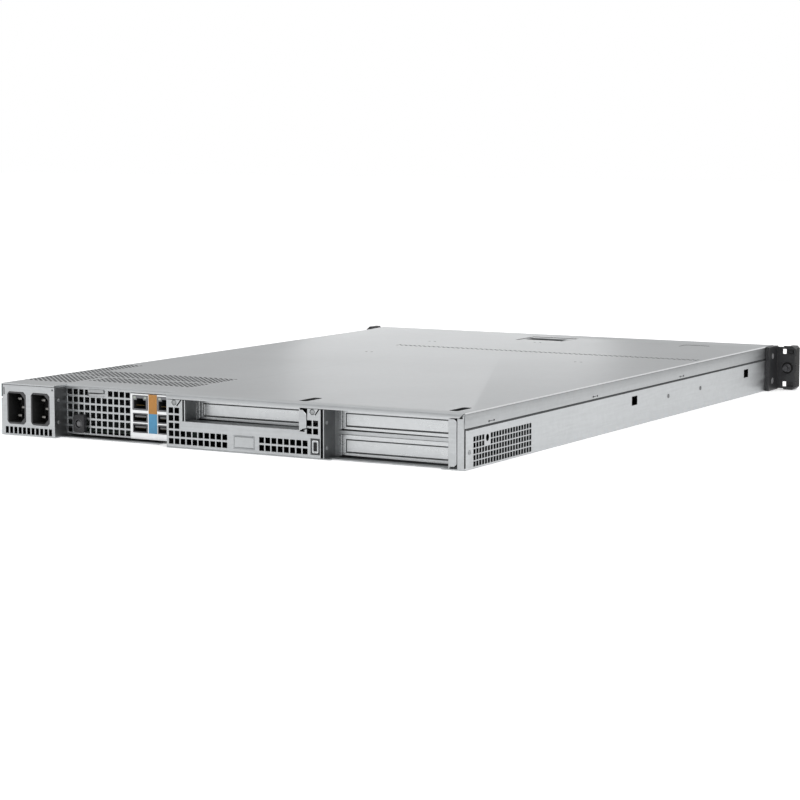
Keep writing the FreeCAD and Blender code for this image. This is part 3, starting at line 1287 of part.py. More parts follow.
# ---------------------------------------------------------------- fans
def fan_x(index):
    """The X of one fan's shaft."""
    return FAN_FIRST_X + index * FAN_PITCH


FAN_LOW = SHEET + BRACKET_BASE
FAN_Z = FAN_LOW + FAN_SIZE / 2


def fan_frames():
    """The square fan frames with their motor mounts."""
    frames = []
    depths = around(FAN_DEPTH, FAN_LENGTH)
    hub_depths = (depths[0], depths[0] + FAN_STRUT)
    for index in range(FAN_COUNT):
        x = fan_x(index)
        frame = block(around(x, FAN_SIZE), depths, (FAN_LOW, FAN_LOW + FAN_SIZE))
        bore = bar_y(x, FAN_Z, FAN_BORE, (depths[0] - SHEET, depths[1] + SHEET))
        hub = bar_y(x, FAN_Z, FAN_HUB, hub_depths, HEAD_FACETS)
        strut = block(around(x, FAN_STRUT), hub_depths, around(FAN_Z, FAN_SIZE - SHEET))
        frames.append(join([frame.cut(bore), hub, strut]))
    return Part.makeCompound(frames)


def fan_rotor(index):
    """One fan wheel: a hub with pitched blades."""
    x = fan_x(index)
    start = FAN_DEPTH - FAN_LENGTH / 2 + FAN_STRUT + GAP
    depths = (start, start + FAN_ROTOR_LENGTH)
    hub = bar_y(x, FAN_Z, FAN_HUB, depths, FAN_BLADES * 2)
    root = FAN_HUB - SHEET * 2
    blades = []
    centre = Vector(x, REAR_Y - sum(depths) / 2, FAN_Z)
    for blade in range(FAN_BLADES):
        size = Vector(FAN_BLADE_THICKNESS, FAN_BLADE_CHORD, FAN_BLADE_TIP - root)
        low = Vector(-size.x / 2, -size.y / 2, root)
        shape = Part.makeBox(size.x, size.y, size.z, low)
        shape.rotate(Vector(0, 0, 0), Z_AXIS, FAN_BLADE_PITCH)
        shape.rotate(Vector(0, 0, 0), Y_AXIS, 360.0 / FAN_BLADES * blade)
        shape.translate(centre)
        blades.append(shape)
    return join([hub] + blades)


def fan_bracket():
    """The sheet tray that holds the fans, with a wall between neighbours."""
    depths = around(FAN_DEPTH, FAN_LENGTH)
    left = fan_x(0) - FAN_SIZE / 2 - GAP - SHEET
    right = fan_x(FAN_COUNT - 1) + FAN_SIZE / 2 + GAP + SHEET
    base = block((left, right), (depths[0] - SHEET - GAP, depths[1] + SHEET + GAP), (SHEET, FAN_LOW))
    lips = [
        block((left, right), (depths[0] - SHEET - GAP, depths[0] - GAP), (SHEET, FAN_LOW + SHEET * 3)),
        block((left, right), (depths[1] + GAP, depths[1] + SHEET + GAP), (SHEET, FAN_LOW + SHEET * 3)),
    ]
    walls = []
    for index in range(FAN_COUNT):
        for sign in (-1, 1):
            edge = fan_x(index) + sign * (FAN_SIZE / 2 + GAP)
            walls.append(block((edge, edge + sign * SHEET), depths, (SHEET, FAN_LOW + BRACKET_LIP * 2)))
    return join([base] + lips + walls)


def air_baffle():
    """The plastic duct from the fans over the processor's sink."""
    inner = SINK_WIDTH / 2 + SHEET
    sides = around(CPU_X, (inner + BAFFLE_SHEET) * 2)
    near = CPU_DEPTH - SINK_LENGTH / 2
    far = FAN_DEPTH - FAN_LENGTH / 2 - SHEET - GAP * 2
    top = WALL_TOP - GAP
    path = [
        (sides[1], BOARD_TOP),
        (sides[1], top),
        (sides[0], top),
        (sides[0], BOARD_TOP),
    ]
    duct = folded(path, (near, BOARD_DEPTHS[1]), BAFFLE_SHEET, sharp=(1, 2))
    roof = block(sides, (BOARD_DEPTHS[1], far), (top - BAFFLE_SHEET, top))
    cheeks = []
    for x in (sides[0], sides[1] - BAFFLE_SHEET):
        low = BOARD_TOP + SHEET * 2
        cheeks.append(block((x, x + BAFFLE_SHEET), (BOARD_DEPTHS[1], far), (low, top)))
    return join([duct, roof] + cheeks)


# ---------------------------------------------------------------- drive bays
def bay_x(index):
    """The centre of one drive bay."""
    return (index - (BAY_COUNT - 1) / 2) * BAY_PITCH


def drive_cage():
    """The cage: a roof with dividers down to the chassis floor."""
    half = BAY_COUNT * BAY_PITCH / 2 + DIVIDER / 2
    depths = (RACK_DEPTH - CAGE_LENGTH, RACK_DEPTH)
    roof = block((-half, half), depths, (CAGE_TOP, CAGE_TOP + DIVIDER))
    walls = []
    for index in range(BAY_COUNT + 1):
        x = (index - BAY_COUNT / 2) * BAY_PITCH
        walls.append(block(around(x, DIVIDER), depths, (SHEET, CAGE_TOP)))
    return join([roof, control_board()] + walls)


def backplane():
    """The drive backplane with an air window above and a plug for each bay."""
    depths = (BACKPLANE_DEPTH - BACKPLANE_THICKNESS, BACKPLANE_DEPTH)
    half = BAY_COUNT * BAY_PITCH / 2
    board = block((-half, half), depths, (SHEET, BACKPLANE_TOP))
    windows = []
    plugs = []
    plug_z = (CARRIER_BOTTOM + CARRIER_SHEET + SHEET, CARRIER_BOTTOM + CARRIER_SHEET + SHEET + PLUG_HEIGHT)
    for index in range(BAY_COUNT):
        x = bay_x(index)
        windows.append(block(around(x, PLUG_WIDTH * 2), (depths[0] - SHEET, depths[1] + SHEET),
                             (plug_z[1] + SHEET * 2, CAGE_TOP)))
        plug_end = RACK_DEPTH - CARRIER_LENGTH - GAP
        plugs.append(block(around(x, PLUG_WIDTH), (depths[1], plug_end), plug_z))
    return join([cut(board, windows)] + plugs)


CARRIER_BOTTOM = SHEET + GAP
CARRIER_WIDTH = BAY_PITCH - DIVIDER - GAP * 2
CARRIER_FACE = RACK_DEPTH + CARRIER_PROUD
LEVER_Z = (CARRIER_BOTTOM + CARRIER_TOP) / 2


def drive_carrier(index):
    """A drive tray: floor, side rails and a ventilated bezel with a lever recess."""
    x = bay_x(index)
    width = around(x, CARRIER_WIDTH)
    length = (RACK_DEPTH - CARRIER_LENGTH, RACK_DEPTH)
    z_low = CARRIER_BOTTOM
    floor = block(width, length, (z_low, z_low + CARRIER_SHEET))
    floor = cut(floor, [block(around(x, DRIVE_WIDTH * 0.6), around(sum(length) / 2, DRIVE_LENGTH * 0.6),
                              (0, CARRIER_TOP))])
    rail_sheet = (CARRIER_WIDTH - DRIVE_WIDTH) / 2 - FIT
    rails = [
        block((width[0], width[0] + rail_sheet), length, (z_low, CARRIER_TOP)),
        block((width[1] - rail_sheet, width[1]), length, (z_low, CARRIER_TOP)),
    ]
    bezel_start = CARRIER_FACE - CARRIER_BEZEL
    bezel = block(width, (bezel_start, CARRIER_FACE), (z_low, CARRIER_TOP))
    lever_x = (hinge_x(index) + LEVER_KNUCKLE + GAP, hinge_x(index) - LEVER_LENGTH - GAP * 2)
    recess = block(lever_x, (CARRIER_FACE - LEVER_THICKNESS - GAP, CARRIER_FACE + SHEET),
                   around(LEVER_Z, LEVER_HEIGHT + GAP * 2))
    windows = []
    for slot in range(LEVER_WINDOWS):
        windows.append(block(lever_window(index, slot), (bezel_start - SHEET, CARRIER_FACE),
                             around(LEVER_Z, LEVER_HEIGHT - LEVER_FRAME * 2)))
    pin = bar_z(hinge_x(index), CARRIER_FACE - LEVER_KNUCKLE, LEVER_PIN,
                around(LEVER_Z, LEVER_HEIGHT + SHEET * 2))
    tray = join([floor, cut(bezel, [recess] + windows)] + rails)
    return join([tray, pin])


def hinge_x(index):
    """The X of a lever's hinge pin."""
    return bay_x(index) + CARRIER_WIDTH / 2 - LEVER_KNUCKLE - SHEET * 2


def lever_window(index, slot):
    """The X ends of one air window in a lever."""
    step = (LEVER_LENGTH - LEVER_KNUCKLE * 2 - LEVER_GRIP * 2) / LEVER_WINDOWS
    end = hinge_x(index) - LEVER_KNUCKLE * 2 - slot * step
    return (end, end - step + LEVER_RIB)


def carrier_lever(index):
    """The release lever on a carrier, hinged on an upright pin."""
    pivot = hinge_x(index)
    depths = (CARRIER_FACE - LEVER_THICKNESS, CARRIER_FACE)
    z = around(LEVER_Z, LEVER_HEIGHT)
    arm = block((pivot, pivot - LEVER_LENGTH), depths, z)
    knuckle = bar_z(pivot, CARRIER_FACE - LEVER_KNUCKLE, LEVER_KNUCKLE, z)
    grip_x = (pivot - LEVER_LENGTH, pivot - LEVER_LENGTH + LEVER_GRIP)
    grip = block(grip_x, (CARRIER_FACE, RACK_DEPTH + FRONT_PROUD), around(LEVER_Z, LEVER_HEIGHT - LEVER_FRAME * 2))
    grip = chamfer(grip, Z_AXIS, SHEET, lambda edge: edge.Vertexes[0].Point.y < REAR_Y - CARRIER_FACE - SHEET)
    bore = bar_z(pivot, CARRIER_FACE - LEVER_KNUCKLE, around_bar(LEVER_PIN), around(LEVER_Z, LEVER_HEIGHT * 2))
    windows = []
    for slot in range(LEVER_WINDOWS):
        windows.append(block(lever_window(index, slot), (depths[0] - SHEET, depths[1] + SHEET),
                             around(LEVER_Z, LEVER_HEIGHT - LEVER_FRAME * 2)))
    return cut(join([arm, knuckle, grip]), windows + [bore])


def hard_drive(index):
    """A drive in its tray, with rounded casting corners."""
    x = bay_x(index)
    start = RACK_DEPTH - CARRIER_LENGTH + FIT
    low = CARRIER_BOTTOM + CARRIER_SHEET
    body = block(around(x, DRIVE_WIDTH), (start, start + DRIVE_LENGTH - CARRIER_BEZEL), (low, low + DRIVE_HEIGHT))
    return chamfer(body, Z_AXIS, SHEET * 3)


def front_fascia():
    """The front sheet with bay openings, the air strip and the control cut-outs."""
    half = UPPER_SIDE - GAP
    sheet = block((-half, half), (RACK_DEPTH, FASCIA_DEPTH), (GAP, WALL_TOP))
    through = (RACK_DEPTH - SHEET, FASCIA_DEPTH + SHEET)
    tools = []
    for index in range(BAY_COUNT):
        tools.append(block(around(bay_x(index), CARRIER_WIDTH + GAP * 2), through,
                           (CARRIER_BOTTOM - GAP, CARRIER_TOP + GAP)))
    for index in range(STRIP_SLOTS):
        x = STRIP_FIRST_X + index * STRIP_SLOT_PITCH
        tools.append(block(around(x, STRIP_SLOT_LENGTH), through, around(STRIP_Z, STRIP_SLOT_HEIGHT)))
    tools.append(bar_y(FRONT_BUTTON_X, STRIP_Z, FRONT_BUTTON_RADIUS + GAP * 2, through))
    for x in FRONT_USB_X:
        tools.append(block(around(x, USB_WIDTH + GAP), through, around(STRIP_Z, USB_HEIGHT + GAP)))
    return cut(sheet, tools)


def front_usb():
    """The two USB ports behind the fascia."""
    ports = []
    for x in FRONT_USB_X:
        port = usb_port(x, STRIP_Z, 0)
        port.rotate(Vector(x, REAR_Y, STRIP_Z), Z_AXIS, 180)
        port.translate(Vector(0, -FASCIA_DEPTH, 0))
        ports.append(port)
    return ports


def control_board():
    """The small board that carries the front USB ports and the button's switch."""
    low = CAGE_TOP + DIVIDER
    top = STRIP_Z - USB_HEIGHT / 2
    x = (FRONT_BUTTON_X - FRONT_BUTTON_LENGTH, FRONT_USB_X[1] + USB_WIDTH)
    depths = (RACK_DEPTH - FRONT_MODULE_DEPTH, RACK_DEPTH - SHEET)
    board = block(x, depths, (low, top))
    switch_end = FASCIA_DEPTH + FRONT_BUTTON_PROUD - FRONT_BUTTON_LENGTH - FRONT_BUTTON_TRAVEL - GAP
    switch = block(around(FRONT_BUTTON_X, FRONT_BUTTON_RADIUS * 2), (depths[0], switch_end),
                   (top, STRIP_Z + FRONT_BUTTON_RADIUS))
    return join([board, switch])


def front_power_button():
    """The front power button."""
    face = FASCIA_DEPTH + FRONT_BUTTON_PROUD
    cap = bar_y(FRONT_BUTTON_X, STRIP_Z, FRONT_BUTTON_RADIUS, (face - FRONT_BUTTON_LENGTH, face))
    return cap


# ---------------------------------------------------------------- export
def export(name, shape):
    """Write one sub-part and report how many solids it has."""
    shape.exportStep("parts/" + name + ".step")
    print(name, len(shape.Solids), "solids, valid", shape.isValid())


def main():
    os.makedirs("parts", exist_ok=True)
    pieces = {
        "chassis_base": chassis_base(),
        "top_cover": top_cover(),
        "latch_housing": latch_housing(),
        "latch_lever": latch_lever(),
        "inlet_bracket": inlet_bracket(),
        "ac_inlets": ac_inlets(),
        "inlet_blades": inlet_blades(),
        "rear_vent_panel": rear_vent_panel(),
        "rear_button_housing": button_housing(),
        "rear_power_button": rear_power_button(),
        "io_plate": io_plate(),
        "io_label_strip": io_label(),
        "rj45_jacks": rj45_jacks(),
        "usb_ports": usb_ports(),
        "riser_cage_centre": riser_cage_centre(),
        "riser_cage_right": riser_cage_right(),
        "slot_cover_centre": slot_cover(CENTRE_SLOT_X, SLOT_HIGH_Z),
        "slot_cover_right_upper": slot_cover(RIGHT_SLOT_X, SLOT_HIGH_Z),
        "slot_cover_right_lower": slot_cover(RIGHT_SLOT_X, SLOT_LOW_Z),
        "rear_rivets": rear_rivets(),
        "side_studs": side_studs(),
        "ear_screws": ear_screws(),
        "mainboard": mainboard(),
        "cpu_heatsink": cpu_heatsink(),
        "memory_modules": memory_modules(),
        "chipset_heatsink": chipset_heatsink(),
        "riser_card_centre": riser_card_centre(),
        "riser_card_right": riser_card_right(),
        "power_supply_rear": power_supply(0),
        "power_supply_front": power_supply(1),
        "fan_frames": fan_frames(),
        "fan_bracket": fan_bracket(),
        "air_baffle": air_baffle(),
        "drive_cage": drive_cage(),
        "backplane": backplane(),
        "front_fascia": front_fascia(),
        "front_power_button": front_power_button(),
    }
    for side, word in ((-1, "right"), (1, "left")):
        pieces["rack_ear_" + word] = rack_ear(side)
        pieces["captive_screw_" + word] = captive_screw(side)
    for index in range(FAN_COUNT):
        pieces["fan_rotor_%d" % (index + 1)] = fan_rotor(index)
    for index in range(BAY_COUNT):
        pieces["drive_carrier_%d" % (index + 1)] = drive_carrier(index)
        pieces["carrier_lever_%d" % (index + 1)] = carrier_lever(index)
        pieces["hard_drive_%d" % (index + 1)] = hard_drive(index)
    for name, shape in pieces.items():
        export(name, shape)


main()
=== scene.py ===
"""Rack server: finishes, folded sheet pieces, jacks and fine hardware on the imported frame."""
import json
import math
import random

import bmesh
import bpy
from bpy.props import FloatProperty, FloatVectorProperty, IntProperty, PointerProperty
from mathutils import Matrix, Vector


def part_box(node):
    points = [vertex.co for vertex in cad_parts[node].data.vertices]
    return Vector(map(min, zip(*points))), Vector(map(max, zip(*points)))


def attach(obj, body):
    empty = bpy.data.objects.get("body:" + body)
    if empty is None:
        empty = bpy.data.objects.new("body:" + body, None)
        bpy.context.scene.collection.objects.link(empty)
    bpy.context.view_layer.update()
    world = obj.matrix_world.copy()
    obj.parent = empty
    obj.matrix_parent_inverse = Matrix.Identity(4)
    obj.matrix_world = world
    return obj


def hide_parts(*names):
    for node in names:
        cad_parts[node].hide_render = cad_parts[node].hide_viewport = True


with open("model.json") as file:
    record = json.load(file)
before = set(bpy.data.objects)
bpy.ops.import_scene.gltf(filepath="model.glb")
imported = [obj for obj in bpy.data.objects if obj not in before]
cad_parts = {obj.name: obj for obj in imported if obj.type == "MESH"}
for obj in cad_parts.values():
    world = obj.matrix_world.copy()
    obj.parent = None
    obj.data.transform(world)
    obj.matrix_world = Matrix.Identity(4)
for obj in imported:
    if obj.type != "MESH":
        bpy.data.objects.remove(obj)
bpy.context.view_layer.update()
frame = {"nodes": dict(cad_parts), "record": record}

bl_info = {
    "name": "Rack server builder",
    "version": (1, 0, 0),
    "blender": (4, 5, 0),
    "location": "View3D > Sidebar > Rack server",
    "description": "Finishes and fine pieces of a one-unit rack server",
    "category": "Object",
}

NODES = frame["nodes"]
RECORD = frame["record"]
BODY_OF = {node: body for body, nodes in RECORD["behaviour"]["bodies"].items() for node in nodes}
SLOT_OF = {part["node"]: part["material_slot"] for part in RECORD["subparts"]}
FINISH_OF_SLOT = {
    "zinc_sheet": "zinc", "bright_steel": "bright_plate_and_painted_edge_highlight", "rivet_steel": "rivet_steel",
    "black_steel": "ear_coat", "black_plastic": "black_plastic", "grey_plastic": "button_plastic",
    "lever_plastic": "lever_plastic", "jack_shell": "jack_shell", "blade_brass": "blade_metal_in_painted_shade",
    "label_print": "label_film", "circuit_board": "board_mask", "fin_aluminium": "fin_aluminium",
    "drive_casting": "drive_casting",
}
MM = 0.001

CASE_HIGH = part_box("chassis_base")[1]
LID_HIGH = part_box("top_cover")[1]
REAR = CASE_HIGH.y
SIDE = LID_HIGH.x
TOP = LID_HIGH.z

# Places in millimetres: X, depth ahead of the rear face, height over the floor
BOARD_TOP = 6.6
LID_LENGTH = 640
SKIRT_END = 617.7  # depth where the skirt makes room for the rack ears
NOTCH_X = (51.3, 163.0)  # the step in the rear, over the jacks
NOTCH_DEPTH = 16.5
HOLE_FIELDS = (  # X from and to, depth from and to
    (170.0, 215.0, 30.0, 79.0), (199.0, 215.0, 83.0, 174.0), (60.0, 163.0, 49.0, 77.0),
    (60.0, 195.0, 83.0, 117.0), (-212.0, 101.0, 460.0, 465.4),
)
ACCESS_SLOTS = (-70.0, -202.0)  # X
DIMPLE_PAIRS = ((91.0, 388.0), (-124.0, 394.0), (91.0, 512.0), (-5.0, 553.0))
CATCHES = (42.0, 228.0, 411.0)  # depths, on both sides
RAIL_HOLES = (308.0, 568.0)
STUDS = (381.0, 454.6)
JACK_COLUMNS = (89.0, 64.3)  # X
USB_ROWS = (11.2, 19.8)  # heights
FACE_RIVETS = (44.0, -84.8)  # X, on the centre riser
WALL_RIVETS = ((163.0, 5.8, 12.8), (163.0, 5.8, 31.0), (-95.5, 4.1, 8.8), (-95.5, 4.1, 28.5))
CORNER_RIVET = (-218.4, 6.5, 13.3)
EAR_SCREW_ROWS = (9.6, 33.6)  # heights
EAR_SLOT_ROWS = (37.475, 5.725)
MODULES = (-41, -32, -23, -14, 80, 89, 98, 107)  # X of the memory modules
CHIPS = ((-40, 75, 27, 2.2), (75, 62, 17, 1.6), (-66, 130, 15, 1.4), (130, 165, 19, 1.6))
PLUGS = (  # X, depth, width, length and height; the chips above have one width
    (142, 330, 14, 26, 12), (-70, 338, 22, 8, 9), (-45, 338, 22, 8, 9), (-20, 338, 22, 8, 9),
    (124, 335, 10, 18, 10),
)
SIDES = (-1, 1)
TINY = 1e-5

# The camera: place in metres, angle below level and turn in radians, focal length in millimetres
CAMERA_PLACE = (-1.0261, 1.5252 + REAR, 0.2514)
CAMERA_DIP, CAMERA_TURN = 0.1143, -2.6263
LENS = 105.86


def at_depth(depth):
    """Y of a depth in millimetres ahead of the rear face."""
    return REAR - depth * MM


def spot(x, depth, z):
    """A point from X, a depth and a height in millimetres."""
    return Vector((x * MM, at_depth(depth), z * MM))


# ------------------------------------------------------------------ modelling helpers
def link(thing):
    bpy.context.scene.collection.objects.link(thing)


def deselect():
    """Nothing selected and no edit mode left over."""
    if bpy.context.object and bpy.context.object.mode != "OBJECT":
        leave_edit()
    bpy.ops.object.select_all(action="DESELECT")


def pick(piece):
    """Only this piece selected and active."""
    deselect()
    piece.select_set(True)
    bpy.context.view_layer.objects.active = piece


def edit_all(piece):
    """Edit mode with the whole piece selected."""
    pick(piece)
    bpy.ops.object.mode_set(mode="EDIT")
    bpy.ops.mesh.select_all(action="SELECT")


def leave_edit():
    bpy.ops.object.mode_set(mode="OBJECT")


def settle(piece):
    """The piece's place goes into its mesh and its object sits at the origin."""
    pick(piece)
    bpy.ops.object.transform_apply(location=True, rotation=True, scale=True)
    return piece


def finished(name, size=(1, 1, 1)):
    """The piece just added, named, sized and settled."""
    piece = bpy.context.object
    piece.name = name
    piece.scale = size
    return settle(piece)


def start_bar(name, centre, size, rotation=(0, 0, 0)):
    """A turned bar about a centre."""
    deselect()
    bpy.ops.mesh.primitive_cube_add(size=1.0, location=centre, rotation=rotation)
    return finished(name, size)


def start_block(name, low, high):
    """A block between two corners, in metres."""
    low, high = Vector(low), Vector(high)
    return start_bar(name, (low + high) / 2, [abs(size) for size in high - low])


def block_mm(name, x, depths, z):
    """A block from two X values, two depths and two heights in millimetres."""
    return start_block(name, spot(min(x), max(depths), min(z)), spot(max(x), min(depths), max(z)))


def start_sheet(name, low, high, z):
    """A flat rectangle at one height."""
    deselect()
    middle = ((low[0] + high[0]) / 2, (low[1] + high[1]) / 2, z)
    bpy.ops.mesh.primitive_plane_add(size=1.0, location=middle)
    return finished(name, (high[0] - low[0], high[1] - low[1], 1))


def start_rod(name, centre, radius, length, axis, sides):
    """A round bar about a centre, along one axis."""
    turn = {"X": (0, math.pi / 2, 0), "Y": (math.pi / 2, 0, 0), "Z": (0, 0, 0)}[axis]
    deselect()
    bpy.ops.mesh.primitive_cylinder_add(vertices=sides, radius=radius, depth=length, location=centre,
                                        rotation=turn)
    return finished(name)


def slit(name, start, end, width, depths):
    """A bar through a rear sheet between two points of X and Z in millimetres."""
    run = Vector((end[0] - start[0], 0, end[1] - start[1]))
    middle = spot((start[0] + end[0]) / 2, sum(depths) / 2, (start[1] + end[1]) / 2)
    size = (run.length * MM, (depths[1] - depths[0]) * MM, width * MM)
    return start_bar(name, middle, size, (0, -math.atan2(run.z, run.x), 0))


def choose(piece, kind, test):
    """In edit mode, only the parts whose centre and normal pass the test; an edge gives its direction."""
    pick(piece)
    bpy.ops.object.mode_set(mode="EDIT")
    bpy.ops.mesh.select_mode(type=kind)
    bpy.ops.mesh.select_all(action="DESELECT")
    net = bmesh.from_edit_mesh(piece.data)
    parts = {"VERT": net.verts, "EDGE": net.edges, "FACE": net.faces}[kind]
    for part in parts:
        if kind == "VERT":
            centre, normal = part.co, part.normal
        elif kind == "EDGE":
            centre = (part.verts[0].co + part.verts[1].co) / 2
            normal = (part.verts[1].co - part.verts[0].co).normalized()
        else:
            centre, normal = part.calc_center_median(), part.normal
        if test(centre, normal):
            part.select_set(True)
    net.select_flush_mode()
    bmesh.update_edit_mesh(piece.data)


def split_at(piece, point, normal):
    """An edge loop where a plane crosses the piece."""
    edit_all(piece)
    bpy.ops.mesh.bisect(plane_co=point, plane_no=normal)
    leave_edit()


def pull(piece, kind, test, move):
    """The chosen edges or faces extruded by a move."""
    choose(piece, kind, test)
    if kind == "EDGE":
        bpy.ops.mesh.extrude_edges_move(TRANSFORM_OT_translate={"value": move})
    else:
        bpy.ops.mesh.extrude_region_move(TRANSFORM_OT_translate={"value": move})
    leave_edit()


def shift(piece, kind, test, move):
    """The chosen vertices, edges or faces moved."""
    choose(piece, kind, test)
    bpy.ops.transform.translate(value=move)
    leave_edit()


def sink_face(piece, test, margin, depth):
    """The chosen faces inset by a margin and pushed in."""
    choose(piece, "FACE", test)
    bpy.ops.mesh.inset(thickness=margin, depth=-depth)
    leave_edit()


def bevel_edges(piece, test, width, segments=3):
    """The chosen edges rounded."""
    choose(piece, "EDGE", test)
    bpy.ops.mesh.bevel(offset=width, segments=segments, affect="EDGES", clamp_overlap=True)
    leave_edit()


def apply_modifier(piece, kind, **values):
    """A modifier added with its values and applied."""
    pick(piece)
    modifier = piece.modifiers.new(kind.title(), kind)
    for key, value in values.items():
        setattr(modifier, key, value)
    bpy.ops.object.modifier_apply(modifier=modifier.name)


def soften(piece, width, segments=2, angle=40, clamp=True):
    """Every edge sharper than the angle rounded a little."""
    apply_modifier(piece, "BEVEL", width=width, segments=segments, limit_method="ANGLE",
                   angle_limit=math.radians(angle), use_clamp_overlap=clamp)
    smooth(piece, angle)
    if segments > 1:
        apply_modifier(piece, "WEIGHTED_NORMAL", keep_sharp=True)
    return piece


def smooth(piece, angle):
    """Smooth shading, with the edges sharper than the angle kept."""
    pick(piece)
    bpy.ops.object.shade_smooth_by_angle(angle=math.radians(angle))


def round_head(name, centre, outward, radius, height, sides=24, dish=0.12):
    """A low round head whose top lies at the centre, with a soft rim and a shallow dish."""
    axis = "XYZ"[max(range(3), key=lambda k: abs(outward[k]))]
    head = start_rod(name, centre - outward * height / 2, radius, height, axis, sides)
    plane = centre.dot(outward)
    bevel_edges(head, lambda c, n: abs(c.dot(outward) - plane) < 1e-6, min(radius * 0.22, height * 0.6), 2)
    choose(head, "FACE", lambda c, n: n.dot(outward) > 0.99)
    bpy.ops.mesh.inset(thickness=radius * 0.3, depth=-dish * MM)
    leave_edit()
    smooth(head, 50)
    return head


def heads(name, places, outward, radius, height, sides):
    """Round heads at several places, all facing one way."""
    return [round_head(name, spot(*place), outward, radius, height, sides) for place in places]


def trim_beyond(piece, depth):
    """What lies deeper than a depth cut off, and the cut closed."""
    edit_all(piece)
    bpy.ops.mesh.bisect(plane_co=(0, at_depth(depth), 0), plane_no=(0, 1, 0), clear_inner=True, use_fill=True)
    leave_edit()


def copies(piece, moves):
    """The piece and moved copies of it, each with its own mesh, as one object."""
    made = []
    for move in moves:
        twin = piece.copy()
        twin.data = piece.data.copy()
        twin.data.transform(Matrix.Translation(Vector(move)))
        link(twin)
        made.append(twin)
    name = piece.name
    bpy.data.objects.remove(piece)
    return join(made, name)


def join(pieces, name):
    """Several pieces made one."""
    deselect()
    for piece in pieces:
        piece.select_set(True)
    bpy.context.view_layer.objects.active = pieces[0]
    if len(pieces) > 1:
        bpy.ops.object.join()
    pieces[0].name = name
    return pieces[0]


def punch(piece, cutter, solver="EXACT"):
    """The cutter taken out of the piece, and the cutter removed."""
    apply_modifier(piece, "BOOLEAN", operation="DIFFERENCE", solver=solver, object=cutter)
    bpy.data.objects.remove(cutter)


def workable(node):
    """A merged copy of a CAD node's mesh to work on."""
    piece = bpy.data.objects.new(node + "_dressed", NODES[node].data.copy())
    link(piece)
    piece.data.materials.clear()
    pick(piece)
    bpy.ops.mesh.customdata_custom_splitnormals_clear()
    edit_all(piece)
    bpy.ops.mesh.remove_doubles(threshold=1e-6)
    leave_edit()
    return piece


def tidy(piece):
    """Triangles that lie flat joined into quads."""
    edit_all(piece)
    bpy.ops.mesh.tris_convert_to_quads(face_threshold=0.02, shape_threshold=math.pi)
    leave_edit()


def dress(node, material, width=None, cutters=(), segments=1):
    """A CAD node reworked: flats joined, cutters taken out, edges broken, then put in its place."""
    piece = workable(node)
    tidy(piece)
    if cutters:
        punch(piece, join(list(cutters), "cutters"))
    reach = [sorted(vertex.co[axis] for vertex in piece.data.vertices) for axis in range(3)]
    soften(piece, width or bpy.context.scene.server_finish.edge, segments, 30, clamp=False)
    for vertex in piece.data.vertices:
        inside = [min(max(at, line[0]), line[-1]) for at, line in zip(vertex.co, reach)]
        vertex.co = inside
    mount(piece, material, BODY_OF[node])
    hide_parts(node)
    return piece


def mount(piece, material, body="chassis"):
    """A finished piece gets its material and its body."""
    piece.data.materials.clear()
    piece.data.materials.append(bpy.data.materials[material])
    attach(piece, body)


def second_finish(piece, material, test):
    """Faces that pass the test take a second material."""
    piece.data.materials.append(bpy.data.materials[material])
    index = len(piece.data.materials) - 1
    for face in piece.data.polygons:
        if test(face.center, face.normal):
            face.material_index = index


def shade(piece, test):
    """Faces that pass the test take the finish of sheet in the shade."""
    second_finish(piece, "zinc_shaded", test)


def faces_in(c, n):
    """A side face that looks towards the middle plane."""
    return abs(n.x) > 0.5 and n.x * c.x < 0


def shade_holes(piece, axis, between, margin=1.2 * MM, keep=lambda centre: False):
    """The walls of the holes through a sheet take the shaded finish."""
    points = [vertex.co for vertex in piece.data.vertices]
    across = [k for k in range(3) if k != axis]
    low = [min(point[k] for point in points) + margin for k in range(3)]
    high = [max(point[k] for point in points) - margin for k in range(3)]
    shade(piece, lambda c, n: abs(n[axis]) < 0.6 and between[0] < c[axis] < between[1]
          and all(low[k] < c[k] < high[k] for k in across) and not keep(c))


def shade_side_holes(piece, outer, inner, heights):
    """The walls of the holes through both side walls take the shaded finish."""
    for side in SIDES:
        wall = sorted((side * (SIDE - inner * MM), side * (SIDE - outer * MM)))
        shade(piece, lambda c, n: abs(n.x) < 0.6 and wall[0] < c.x < wall[1]
              and heights[0] < c.z < heights[1] and at_depth(600) < c.y < at_depth(9))


# ------------------------------------------------------------------ materials
def grey(value):
    return (value, value, value, 1)


def scaled(color, share):
    """A colour made darker or lighter, opaque and never above one."""
    return tuple(min(1, channel * share) for channel in color) + (1,)


